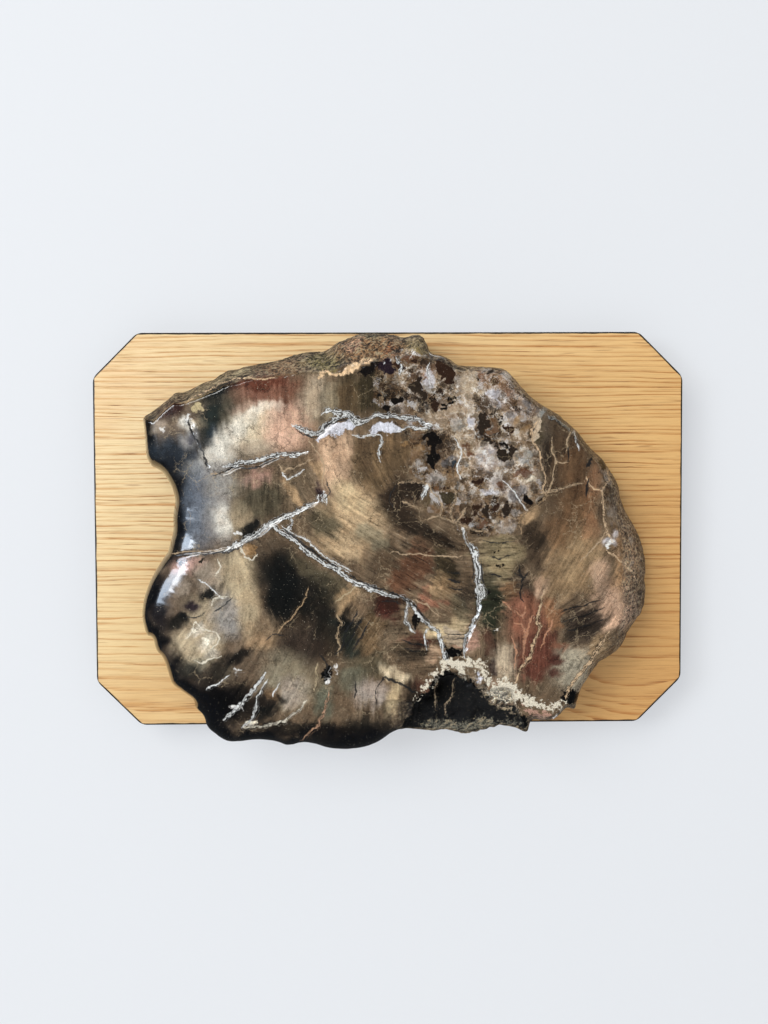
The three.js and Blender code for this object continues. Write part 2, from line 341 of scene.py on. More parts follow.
def makeFloor():
    deselectAll()
    size = studio["floorSize"] * mm
    bpy.ops.mesh.primitive_plane_add(size=size, location=(0, -size / 2, -studio["floorDrop"] * mm))
    floor = bpy.context.object
    floor.name = "floor"
    floor.data.materials.append(stageMaterial("floor paint", False))
    floor.visible_glossy = False


def makeLight(name, values):
    data = bpy.data.lights.new(name, "AREA")
    data.shape = "RECTANGLE"
    data.size = values["width"] * mm
    data.size_y = values["height"] * mm
    data.energy = values["power"]
    data.color = values["tone"]
    light = addObject(name, data)
    aside = Matrix.Rotation(math.radians(values["aside"]), 3, "Z")
    upward = Matrix.Rotation(math.radians(-values["up"]), 3, "X")
    place = aside @ upward @ Vector((0, -values["away"] * mm, 0))
    light.location = place
    light.rotation_euler = (-place).to_track_quat("-Z", "Y").to_euler()
    light.visible_diffuse = values["onMatt"]
    light.visible_glossy = values["inPolish"]


def lightStudio():
    for name, values in lights.items():
        makeLight(name, values)
    world = bpy.data.worlds.new("room")
    world.use_nodes = True
    scene.world = world
    tree = Tree(world.node_tree)
    mirrored = tree.make("LightPath", output="Is Glossy Ray")
    seen = tree.make("LightPath", output="Is Camera Ray")
    strength = mirrored * (studio["reflected"] - studio["ambient"]) + studio["ambient"]
    strength = strength + seen * studio["ambientSeen"]
    light = tree.make("Background", None, {"Color": (*studio["ambientTone"], 1), "Strength": strength})
    output = world.node_tree.nodes.new("ShaderNodeOutputWorld")
    world.node_tree.links.new(light.socket, output.inputs["Surface"])


# Oak board with clipped corners and keyhole slots in its back

boardShape = {
    "cornerLeg": 22.6,
    "cornerRounding": 2.5,
    "edgeRounding": 1.2,
    "keyholeSpacing": 150,
    "keyholeHeight": 58,
    "entryRadius": 5,
    "slotWidth": 5,
    "travel": 15,
    "lipDepth": 3.5,
    "keyholeDepth": 9,
    "cutterSides": 48,
}

oakLook = {
    "pithHeight": -114,
    "pithDepth": -88,
    "ringSpacing": 2.4,
    "ringDrift": 8,
    "ringShiver": 1.5,
    "ringUnevenness": 7,
    "knotCentre": (128, -84),
    "knotReach": 34,
    "knotLift": 9,
    # the second tone of each pair is for the lower right, darker and more orange: painted shade where the
    # light falls off
    "paleTones": ((233, 208, 156), (232, 183, 115)),  # upper left, lower right
    "ripeTones": ((200, 150, 90), (186, 122, 58)),
    "cloudTone": (214, 164, 100),
    "grainTone": (196, 142, 80),
    "paintedShadeTone": (188, 130, 70),
    "threadTone": (160, 108, 58),
    "poreTone": (128, 78, 38),
    "rayTone": (150, 96, 50),
    "charredTone": (26, 20, 15),
    "roughness": 0.42,
}


def selectEdges(piece, wanted):
    bpy.ops.object.mode_set(mode="OBJECT")
    scene.tool_settings.mesh_select_mode = (False, True, False)
    mesh = piece.data
    for part in (mesh.vertices, mesh.edges, mesh.polygons):
        part.foreach_set("select", [False] * len(part))
    for edge in mesh.edges:
        start, end = (mesh.vertices[index].co for index in edge.vertices)
        edge.select = wanted(start, end)
    bpy.ops.object.mode_set(mode="EDIT")


def makeSlotCutter(radius, start, end, side, travel):
    deselectAll()
    bottom = boardShape["keyholeHeight"] - boardShape["travel"]
    place = Vector((side * boardShape["keyholeSpacing"] / 2, -(start + end) / 2, bottom)) * mm
    sides = boardShape["cutterSides"]
    bpy.ops.mesh.primitive_cylinder_add(
        vertices=sides, radius=radius * mm, depth=(end - start) * mm, location=place,
        rotation=(math.radians(90), 0, math.radians(180 / sides)),
    )
    cutter = bpy.context.object
    bpy.ops.object.transform_apply(location=True, rotation=True, scale=True)
    for vertex in cutter.data.vertices:
        if vertex.co.z > bottom * mm:
            vertex.co.z += travel * mm
    return cutter


def cutWith(piece, cutter):
    selectOnly(piece)
    cut = piece.modifiers.new("keyhole", "BOOLEAN")
    cut.object = cutter
    cut.operation = "DIFFERENCE"
    cut.solver = "EXACT"
    bpy.ops.object.modifier_apply(modifier="keyhole")
    bpy.data.objects.remove(cutter)


def makeBoard():
    low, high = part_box("oak_board")
    deselectAll()
    bpy.ops.mesh.primitive_cube_add(size=1, location=(low + high) / 2, scale=high - low)
    board = bpy.context.object
    board.name = "oak_plaque"
    bpy.ops.object.transform_apply(location=True, rotation=True, scale=True)

    def isCornerEdge(start, end):
        return abs(start.y - end.y) > mm

    def isRimEdge(start, end):
        middle = (low.y + high.y) / 2
        return abs(start.y - end.y) < mm and abs(start.y - middle) > (high.y - low.y) / 2 - mm / 10

    selectEdges(board, isCornerEdge)
    bpy.ops.mesh.bevel(offset=boardShape["cornerLeg"] * mm, segments=1)
    selectEdges(board, isCornerEdge)
    bpy.ops.mesh.bevel(offset=boardShape["cornerRounding"] * mm, segments=4)
    selectEdges(board, isRimEdge)
    bpy.ops.mesh.bevel(offset=boardShape["edgeRounding"] * mm, segments=3)
    bpy.ops.object.mode_set(mode="OBJECT")
    outside = -1  # a cutter starts this far behind the back
    for side in (-1, 1):
        depth = boardShape["keyholeDepth"]
        travel = boardShape["travel"]
        cutWith(board, makeSlotCutter(boardShape["slotWidth"] / 2, outside, depth, side, travel))
        cutWith(board, makeSlotCutter(boardShape["entryRadius"], boardShape["lipDepth"], depth, side, travel))
        cutWith(board, makeSlotCutter(boardShape["entryRadius"], outside, depth, side, 0))
    selectOnly(board)
    bpy.ops.object.shade_smooth_by_angle(angle=math.radians(35))
    board.data.materials.clear()
    board.data.materials.append(oakMaterial())
    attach(board, "root")
    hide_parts("oak_board")


def oakMaterial():
    material, tree = newMaterial("oiled oak")
    spot = tree.place(1 / mm)  # millimetres from here on
    along = tree.axis(spot, "X")
    depth = tree.axis(spot, "Y")
    up = tree.axis(spot, "Z")

    # rings round a pith behind and below the board, with a knot at the lower right
    drift = tree.drawnNoise(spot, (0.006, 0.03, 0.03)) - 0.5
    shiver = tree.drawnNoise(spot, (0.03, 0.2, 0.2)) - 0.5
    knotX, knotZ = oakLook["knotCentre"]
    aside = (along - knotX) / oakLook["knotReach"]
    above = (up - knotZ) / oakLook["knotReach"]
    knot = 1 / (1 + aside * aside * 0.5 + above * above * 2.2)
    fromPith = up - oakLook["pithHeight"]
    towardPith = depth - oakLook["pithDepth"]
    radius = (fromPith * fromPith + towardPith * towardPith) ** 0.5
    radius = radius + drift * oakLook["ringDrift"] + shiver * oakLook["ringShiver"]
    radius = radius + knot * oakLook["knotLift"]
    uneven = tree.noise(tree.make("CombineXYZ", None, {0: radius * 0.16}), 1.0, 2.0) - 0.5
    radius = radius + uneven * oakLook["ringUnevenness"]
    ring = (radius / oakLook["ringSpacing"]).maths("FRACT")
    year = tree.noise(tree.make("CombineXYZ", None, {0: radius * 0.35}), 1.0, 0.0)
    streak = tree.drawnNoise(spot, (0.022, 0.9, 0.9), 3.0, 0.6)
    early = tree.step(ring, 0.0, 0.07) * tree.step(ring, 0.56, 0.1) * tree.step(streak, 0.36, 0.6, 0.12, 1.35)
    band = early * (year * 0.9 + 0.35)

    # threads, pores, rays and the finest grain
    thread = tree.drawnNoise(spot, (0.03, 2.4, 2.4), 3.0, 0.65, (0, 0, 4))
    pores = tree.step(tree.drawnNoise(spot, (0.055, 3.0, 3.0), 3.0, 0.65), 0.53, 0.66)
    rays = tree.step(tree.drawnNoise(spot, (0.05, 1.1, 1.1), 1.0, 0.5, (3, 7, 1)), 0.66, 0.78)
    fine = tree.drawnNoise(spot, (0.25, 9.0, 9.0))
    cloud = tree.drawnNoise(spot, (0.01, 0.04, 0.04))

    # painted light: the board is lighter towards the upper left and darker towards the lower right, as
    # painted shade where the light falls off
    slant = along - up * 0.7
    lightFalloff = tree.step(slant, -190.0, 190.0)
    pale = tree.mix(lightFalloff, *oakLook["paleTones"])
    ripe = tree.mix(lightFalloff, *oakLook["ripeTones"])
    tone = tree.mix(band.clamped(), pale, ripe)
    tone = tree.mix(tree.step(cloud, 0.45, 0.75) * 0.45, tone, oakLook["cloudTone"])
    tone = tree.mix(fine * 0.3, tone, oakLook["grainTone"])
    # painted shade, deepest at the lower right
    tone = tree.mix(tree.step(slant, 90.0, 220.0) * 0.4, tone, oakLook["paintedShadeTone"])
    tone = tree.mix(tree.step(thread, 0.5, 0.66) * 0.34, tone, oakLook["threadTone"])
    tone = tree.mix(pores * (early * 0.8 + 0.1), tone, oakLook["poreTone"])
    tone = tree.mix(rays * 0.55, tone, oakLook["rayTone"])

    # the edges are charred, a little onto the front
    halfWidth, halfHeight = boardHalves()
    cornerLine = halfWidth + halfHeight - boardShape["cornerLeg"]
    clipped = (abs(along) + abs(up) - cornerLine) * math.sqrt(0.5)
    outward = (abs(along) - halfWidth).most(abs(up) - halfHeight).most(clipped)
    scorchNoise = tree.drawnNoise(spot, (0.12, 0.4, 0.12), 3.0)
    onFront = tree.step(depth, -9.0, -12.0)
    scorch = tree.step(outward + scorchNoise * 0.9 - 0.45, -1.25, -0.75)
    tone = tree.mix(scorch * (onFront * 0.04 + 0.95), tone, oakLook["charredTone"])

    rough = oakLook["roughness"] + band * 0.12 + pores * 0.15
    height = fine * 0.25 - pores * 0.8 - early * 0.25
    bump = tree.make("Bump", None, {"Strength": 0.35, "Distance": 0.00015, "Height": height})
    surface = tree.make("BsdfPrincipled", None, {
        "Base Color": tone, "Roughness": rough, "Normal": bump, "IOR": 1.47,
    })
    finishTree(tree, surface)
    return material


makeWall()
makeFloor()
lightStudio()
print("wall, floor and light made")
makeBoard()
print("board made")


# Slab: outline traced in the photograph, its margins, and what lies where on its face

slabShape = {
    "boardThickness": 18,
    "bondGap": 0.3,
    "thickness": 28,
    "domeRise": 1.6,
    "crownReach": 75,
    "columnStep": 1.6,  # pixels along the outline
    "gridStep": 0.76,
    "rimRings": (0.0, 0.05, 0.15, 0.32, 0.58),  # how far in each ring of the rim lies
    "rimReach": 0.9,
    "sideRings": 9,
    "backInset": 0.4,
    "cornerCut": 0.22,
    "outlineCentre": (400, 560),  # a point that sees the whole outline
    "raggedSizes": (2.4, 6),  # fine and coarse bites out of the outline
    "dentSize": 5,
    "lumpSizes": (6, 2.2),
    "lumpDepth": 0.9,
    "crackWander": 1.8,  # pixels
}

# edge: height of the silhouette above the board; round: 1 is a straight bevel, 2 a quarter circle;
# step: ledge where the polished face stops; rough: size of the lumps;
# tuck: how far the side draws in at the back; raw: 1 where the margin isn't polished
margins = {
    "rind": {"edge": 9, "round": 1.25, "step": 1.5, "rough": 1.6, "tuck": 1.0, "raw": 1.0},
    "knob": {"edge": 12, "round": 1.7, "step": 1.0, "rough": 2.3, "tuck": 2.0, "raw": 1.0},
    "chipped": {"edge": 16, "round": 1.5, "step": 0.2, "rough": 0.9, "tuck": 1.5, "raw": 0.75},
    "crumbly": {"edge": 8, "round": 1.4, "step": 0.7, "rough": 1.6, "tuck": 1.0, "raw": 0.8},
    "foot": {"edge": 10, "round": 1.6, "step": 0.6, "rough": 1.4, "tuck": 1.5, "raw": 0.8},
    "hollow": {"edge": 8, "round": 2.4, "step": 11, "rough": 2.6, "tuck": 3.0, "raw": 1.0},
    "polished": {"edge": 10, "round": 2.1, "step": 0, "rough": 0.0, "tuck": 3.5, "raw": 0.0},
}
columnFields = ("x", "y", "width", *margins["rind"])

# The outline, clockwise from the left spike: x and y in the photograph, then the margin's width, in pixels
outlineRuns = [
    ("rind", [
        (143.3, 416.4, 14), (150.8, 413, 14), (162.4, 404, 12), (170.7, 397.4, 12), (175, 392.6, 14),
        (186.6, 391.8, 14), (198, 385.8, 16), (206, 381.7, 16), (212, 380.8, 15), (226.4, 370.5, 18),
        (232, 370, 17), (257.4, 363.6, 17), (285, 358.4, 20), (298.8, 352.4, 24), (326.3, 351.5, 25),
    ]),
    ("knob", [
        (336.6, 342.9, 30), (352, 336, 34), (367.6, 332.6, 34), (380, 333.3, 32), (395, 335, 26),
        (404.9, 337.5, 22), (413, 335, 22), (419.8, 334.6, 20), (426.4, 340.8, 16),
    ]),
    ("chipped", [
        (428.9, 350.7, 10), (433, 354, 9), (443, 355.7, 9), (450.5, 359.9, 9), (456.3, 364.8, 9),
        (462.9, 365.7, 9), (479.5, 366.5, 9), (497.4, 367.4, 9), (505.7, 369.9, 9), (513, 376.5, 9),
        (519.8, 385.7, 9), (528, 394, 9), (539.7, 403.9, 9), (547.1, 408, 9), (557.9, 413.9, 9),
        (569.5, 424.6, 10), (577.8, 431.3, 10), (586, 442.9, 11),
    ]),
    ("crumbly", [
        (591.9, 450, 12), (600.3, 456.6, 14), (607, 466.5, 16), (615.3, 479, 18), (619.4, 489.8, 18),
        (620.2, 498, 18), (624.4, 510.5, 20), (633, 524, 26), (643, 544.5, 32), (645.3, 560, 34),
        (645.3, 580.8, 34), (645.3, 599, 34), (641.2, 613.5, 30), (629, 627.8, 22), (622.9, 642, 18),
        (614.7, 652.2, 16), (596.3, 662.4, 14),
    ]),
    ("foot", [
        (582, 682.9, 12), (578, 691, 12), (573.9, 709.4, 12), (563.7, 705.3, 10), (557.6, 713.5, 10),
        (547.3, 719.6, 10), (531, 717.6, 12),
    ]),
    ("hollow", [
        (529.6, 721.6, 22), (527, 732.9, 30), (514.7, 726.7, 34), (502.4, 724.7, 42), (486, 728.8, 54),
        (462.7, 734.9, 64), (445.3, 728.8, 62), (435, 730.8, 52), (412.7, 727.8, 32),
    ]),
    ("polished", [
        (394.3, 728.8, 38), (380, 740, 48), (366, 745.8, 52), (348.7, 748.4, 56), (329.8, 747.5, 56),
        (316, 743, 52), (303.9, 740.6, 50), (288.4, 745, 52), (276.4, 739.8, 52), (257.4, 738, 54),
        (240, 740.6, 56), (228, 740.6, 58), (217.8, 734.6, 60), (207.5, 726, 60), (204, 714, 58),
        (195.4, 707, 56), (194.6, 698.4, 54), (186.8, 693, 52), (172.2, 683, 50), (168.7, 670.9, 48),
        (164.4, 657, 46), (156.7, 650, 46), (154, 636.4, 44), (147.2, 634.7, 42), (142.4, 615.8, 42),
        (144.6, 596.8, 42), (152.4, 576, 40), (164.4, 557, 36), (169, 551, 34), (171.5, 539.6, 34),
        (174, 530.5, 36), (173.6, 513, 38), (176.5, 500.6, 36), (173.2, 488, 32), (166.5, 475.8, 28),
        (161.6, 470.5, 26), (152.4, 466.6, 24), (148.3, 458.7, 20), (147, 449.6, 18), (146.2, 433.8, 16),
        (145, 423, 14),
    ]),
]

# Open cracks: half width in pixels, depth in millimetres, and points along each in the photograph
openCracks = [
    (2.2, 1.1, [(219.6, 473.7), (235, 466), (260, 464), (278, 455.4), (309.8, 451.3)]),
    (2.6, 1.1, [
        (293, 424.7), (303, 432), (318, 435.5), (334.6, 419.8), (351.2, 419.8), (370, 419), (392, 416.4),
        (412, 421), (430, 425),
    ]),
    (1.8, 1.0, [(172, 556), (206, 551), (235, 546), (260, 533), (282, 517), (311, 505), (321, 500)]),
    (2.4, 1.3, [
        (274, 525), (296, 545.4), (333, 565), (365, 581), (396, 597), (416, 605), (432, 628), (444, 656),
    ]),
    (2.2, 1.1, [
        (453, 506), (463.5, 533.5), (471.4, 553), (479, 577), (479, 605), (471, 628), (463.5, 656),
    ]),
    (1.8, 1.2, [(190, 421), (193, 435), (202, 457), (209, 468)]),
]

noiseTable = np.random.RandomState(11).uniform(-1, 1, 4096)
latticeSteps = (73856093, 19349663, 83492791)


def valueNoise(points, size, seed=0):
    scaled = points / size + seed * 17.31
    cell = np.floor(scaled).astype(np.int64)
    part = scaled - cell
    part = part * part * (3 - 2 * part)
    total = np.zeros(len(points))
    for corner in itertools.product((0, 1), repeat=points.shape[1]):
        mixed = np.zeros(len(points), np.int64)
        weight = np.ones(len(points))
        for axis, side in enumerate(corner):
            mixed ^= (cell[:, axis] + side) * latticeSteps[axis]
            weight = weight * (part[:, axis] if side else 1 - part[:, axis])
        total += weight * noiseTable[mixed & (len(noiseTable) - 1)]
    return total


def cloudNoise(points, size, seed=0, octaves=3):
    total = 0
    for octave in range(octaves):
        total = total + valueNoise(points, size / 2**octave, seed + octave * 5) / 2**octave
    return total / (2 - 0.5 ** (octaves - 1))


def smooth(value, start, end):
    share = np.clip((value - start) / (end - start), 0, 1)
    return share * share * (3 - 2 * share)


def placeAtHeight(x, y, height):
    turn = np.array(eyeTurn())
    eye = np.array(camera["eye"])
    ray = np.stack([
        (x - camera["imageWidth"] / 2) / camera["focal"],
        np.ones_like(x),
        (camera["imageHeight"] / 2 - y) / camera["focal"],
    ], -1) @ turn.T
    depth = -(slabShape["boardThickness"] + slabShape["bondGap"] + height)
    return ray * ((depth - eye[1]) / ray[:, 1])[:, None] + eye


def photoPixel(points):
    local = (points - np.array(camera["eye"])) @ np.array(eyeTurn())
    x = camera["imageWidth"] / 2 + camera["focal"] * local[:, 0] / local[:, 1]
    y = camera["imageHeight"] / 2 - camera["focal"] * local[:, 2] / local[:, 1]
    return np.stack([x, y], -1)


# The outline with its corners eased and points at even steps; each has its margin's values beside it
def outlineColumns():
    rows = []
    for name, points in outlineRuns:
        for x, y, width in points:
            rows.append([x, y, width, *margins[name].values()])
    loop = np.array(rows, float)
    for _ in range(2):
        after = np.roll(loop, -1, axis=0)
        cut = slabShape["cornerCut"]
        eased = np.stack([loop * (1 - cut) + after * cut, loop * cut + after * (1 - cut)], 1)
        loop = eased.reshape(-1, loop.shape[1])
    closed = np.vstack([loop, loop[:1]])
    run = np.concatenate([[0], np.cumsum(np.hypot(*np.diff(closed[:, :2], axis=0).T))])
    count = int(run[-1] / slabShape["columnStep"])
    places = np.arange(count) * run[-1] / count
    return {
        field: np.interp(places, run, closed[:, index]) for index, field in enumerate(columnFields)
    }


def pickColumns(columns, chosen):
    return {field: values[chosen] for field, values in columns.items()}


def inwardOf(flat):
    along = np.roll(flat, -1, axis=0) - np.roll(flat, 1, axis=0)
    inward = np.stack([along[:, 1], -along[:, 0]], 1)
    for _ in range(3):
        inward = inward + np.roll(inward, 1, axis=0) + np.roll(inward, -1, axis=0)
    return inward / np.linalg.norm(inward, axis=1)[:, None]


# How far each point is from the outline, and which of its columns is nearest
def nearestColumn(points, flat):
    after = np.roll(flat, -1, axis=0)
    span = after - flat
    length = (span**2).sum(1)
    distance = np.empty(len(points))
    nearest = np.empty(len(points), int)
    batch = 4000  # points at a time, to save memory
    for start in range(0, len(points), batch):
        chunk = points[start:start + batch]
        offset = chunk[:, None, :] - flat[None]
        part = np.clip((offset * span).sum(2) / length, 0, 1)
        gap = ((offset - part[:, :, None] * span) ** 2).sum(2)
        best = gap.argmin(1)
        distance[start:start + batch] = np.sqrt(gap[np.arange(len(chunk)), best])
        nearest[start:start + batch] = best
    return distance, nearest


def insideLoop(points, loop):
    inside = np.zeros(len(points), bool)
    loop = np.array(loop, float)
    after = np.roll(loop, -1, axis=0)
    for (ax, ay), (bx, by) in zip(loop, after):
        if ay == by:
            continue
        crosses = (ay > points[:, 1]) != (by > points[:, 1])
        inside ^= crosses & (points[:, 0] < (bx - ax) * (points[:, 1] - ay) / (by - ay) + ax)
    return inside


def frontHeight(columns, marginPart, distanceIn):
    edge, bend, step = columns["edge"], columns["round"], columns["step"]
    flatness = 1 - np.minimum(distanceIn / slabShape["crownReach"], 1)
    crown = slabShape["domeRise"] * (1 - flatness**2)
    part = np.clip(marginPart, 0, 1)
    top = slabShape["thickness"] - step
    fall = (1 - part) ** bend
    rolled = edge + (top - edge) * (1 - fall) ** (1 / bend) + crown
    settle = smooth(marginPart, 0.97, 1.05)
    return rolled * (1 - settle) + (slabShape["thickness"] + crown) * settle


# Signed distance from a line through the points, and how far along it, from 0 to 1, each place is
def lineField(pixels, points):
    points = np.array(points, float)
    best = np.full(len(pixels), 1e9)
    across = np.zeros(len(pixels))
    along = np.zeros(len(pixels))
    run = np.concatenate([[0], np.cumsum(np.hypot(*np.diff(points, axis=0).T))])
    for place in range(len(points) - 1):
        start, end = points[place], points[place + 1]
        span = end - start
        length = math.hypot(*span)
        offset = pixels - start
        part = np.clip((offset @ span) / length**2, 0, 1)
        gap = np.hypot(*(offset - part[:, None] * span).T)
        side = np.sign(span[0] * offset[:, 1] - span[1] * offset[:, 0])
        nearer = gap < best
        best[nearer] = gap[nearer]
        across[nearer] = (gap * np.where(side == 0, 1, side))[nearer]
        along[nearer] = ((run[place] + part * length) / run[-1])[nearer]
    return across, along


def raised(flat, height):
    return np.stack([flat[:, 0], height, flat[:, 1]], 1)


# Rings up the side, from the back to the silhouette, drawn in towards the middle of the outline
def sideRings(columns, flat, middle):
    toMiddle = middle - flat
    toMiddle /= np.linalg.norm(toMiddle, axis=1)[:, None]
    rings = []
    for ring in range(slabShape["sideRings"]):
        share = ring / slabShape["sideRings"]
        inset = (columns["tuck"] + slabShape["backInset"]) * (1 - share) ** 1.6
        height = columns["edge"] * share
        spot = raised(flat, -height)
        dent = np.clip(cloudNoise(spot, slabShape["dentSize"], 8) + 0.3, 0, 1) * (columns["rough"] + 0.25)
        reach = inset + dent * 0.55 * math.sin(math.pi * (0.15 + 0.85 * share))
        rings.append(raised(flat + toMiddle * reach[:, None], height))
    return rings


# Close rings over the rim, where the front falls away steeply
def rimRings(columns, flat, widths, distances):
    inward = inwardOf(flat)
    rings = []
    for distance in distances:
        height = frontHeight(columns, distance / widths, np.full(len(flat), distance))
        rings.append(raised(flat + inward * distance, height))
    return rings


# The rest of the front is an even grid of points; each has its distance from the outline, and its column
def frontGrid(flat, lastRing):
    step = slabShape["gridStep"]
    low, high = flat.min(0), flat.max(0)
    rows = int((high[1] - low[1]) / (step * math.sqrt(3) / 2)) + 1
    across = int((high[0] - low[0]) / step) + 2
    grid = np.array([
        (low[0] + (place + (row % 2) / 2) * step, low[1] + row * step * math.sqrt(3) / 2)
        for row in range(rows) for place in range(across)
    ])
    grid += np.random.RandomState(5).uniform(-0.12, 0.12, grid.shape) * step
    grid = grid[insideLoop(grid, lastRing)]
    distance, nearest = nearestColumn(grid, flat)
    clear = distance > slabShape["rimReach"] + step * 0.5
    return grid[clear], distance[clear], nearest[clear]


def slabMesh():
    columns = outlineColumns()
    edgePoints = placeAtHeight(columns["x"], columns["y"], columns["edge"])
    flat = edgePoints[:, [0, 2]]
    # the broken parts of the outline are ragged, and only ever cut in
    fineBite, coarseBite = slabShape["raggedSizes"]
    ragged = cloudNoise(edgePoints, fineBite, 3) * 0.5 + cloudNoise(edgePoints, coarseBite, 4) * 0.6
    flat = flat + inwardOf(flat) * (np.clip(ragged, 0, 1) * (columns["rough"] * 0.55 + 0.3))[:, None]
    count = len(flat)
    print("  outline columns:", count)

    # the eye is in front of the stone, so its depth from there is negative
    eyeDepth = slabShape["boardThickness"] + slabShape["bondGap"] + columns["edge"] + camera["eye"][1]
    widths = columns["width"] * eyeDepth / -camera["focal"]
    centre = (*slabShape["outlineCentre"], slabShape["thickness"])
    middle = placeAtHeight(*(np.array([value], float) for value in centre))[0, [0, 2]]
    rimIn = [*slabShape["rimRings"], slabShape["rimReach"]]
    rings = sideRings(columns, flat, middle) + rimRings(columns, flat, widths, rimIn)
    lastRing = rings[-1][:, [0, 2]]
    grid, distance, nearest = frontGrid(flat, lastRing)
    loopEdges = [(place, (place + 1) % count) for place in range(count)]
    flatPoints = [Vector(point) for point in np.vstack([lastRing, grid])]
    made, _, faces, sources, _, _ = delaunay_2d_cdt(flatPoints, loopEdges, [], 1, 1e-5)
    made = np.array(made)
    print("  front points:", len(made))

    # every made point keeps its own source; a new point takes the nearest column
    order = np.array([source[0] if source else -1 for source in sources])
    madeDistance = np.empty(len(made))
    madeColumn = np.empty(len(made), int)
    isRing = (order >= 0) & (order < count)
    isGrid = order >= count
    madeDistance[isRing] = slabShape["rimReach"]
    madeColumn[isRing] = order[isRing]
    madeDistance[isGrid] = distance[order[isGrid] - count]
    madeColumn[isGrid] = nearest[order[isGrid] - count]
    if (order < 0).any():
        madeDistance[order < 0], madeColumn[order < 0] = nearestColumn(made[order < 0], flat)
    own = pickColumns(columns, madeColumn)
    front = raised(made, frontHeight(own, madeDistance / widths[madeColumn], madeDistance))

    backMiddle = np.array([[middle[0], 0, middle[1]]])
    points = np.vstack(rings[:-1] + [front, backMiddle])
    column = np.concatenate([np.tile(np.arange(count), len(rings) - 1), madeColumn, [0]])
    # how far in from the outline each point lies, and -1 on the side and back
    distanceIn = np.concatenate(
        [np.full(count * slabShape["sideRings"], -1.0)]
        + [np.full(count, distance) for distance in rimIn[:-1]] + [madeDistance, [-1.0]]
    )
    frontStart = count * (len(rings) - 1)
    ringIndex = np.zeros(count, int)
    ringIndex[order[isRing]] = np.nonzero(isRing)[0]
    loops = [list(range(ring * count, (ring + 1) * count)) for ring in range(len(rings) - 1)]
    loops.append((frontStart + ringIndex).tolist())
    polygons = []
    for lower, upper in zip(loops, loops[1:]):
        for place in range(count):
            after = (place + 1) % count
            polygons.append((lower[place], lower[after], upper[after], upper[place]))
    polygons += [tuple(frontStart + index for index in face) for face in faces]
    polygons += [((place + 1) % count, place, len(points) - 1) for place in range(count)]
    return points, polygons, pickColumns(columns, column), distanceIn, distanceIn / widths[column]


def framePoints(points):
    depth = -(slabShape["boardThickness"] + slabShape["bondGap"] + points[:, 1])
    return np.stack([points[:, 0], depth, points[:, 2]], 1)


def stonePixels(points):
    return photoPixel(framePoints(points))


# Lumps on the margins that aren't polished, and the open cracks
def roughenFront(points, own, distanceIn, part):
    pixels = stonePixels(points)
    spot = points * np.array([1, 0.6, 1])
    share = np.where((part > 0) & (part < 1), np.sin(math.pi * np.clip(part * 1.06, 0, 1)) ** 0.6, 0)
    coarse, fine = slabShape["lumpSizes"]
    lumps = 0.5 - cloudNoise(spot, coarse, 21) * 1.2 - cloudNoise(spot, fine, 22) * 0.5
    points[:, 1] -= lumps * share * own["rough"] * slabShape["lumpDepth"]
    front = distanceIn > 0.3
    wander = np.stack([cloudNoise(pixels, 9, 31), cloudNoise(pixels, 9, 32)], 1)
    wandered = pixels + wander * slabShape["crackWander"]
    for half, depth, line in openCracks:
        across, along = lineField(wandered, line)
        taper = smooth(np.minimum(along, 1 - along), 0, 0.06)
        groove = np.clip(1 - np.abs(across) / (half * 1.25), 0, 1) * depth * taper
        points[:, 1] -= np.where(front, groove, 0)
    return points


def addAttribute(mesh, name, values):
    if values.ndim == 1:
        layer = mesh.attributes.new(name, "FLOAT", "POINT")
        layer.data.foreach_set("value", values.astype(np.float32))
    else:
        layer = mesh.attributes.new(name, "FLOAT_COLOR", "POINT")
        rgba = np.ones((len(values), 4), np.float32)
        rgba[:, :3] = values
        layer.data.foreach_set("color", rgba.ravel())


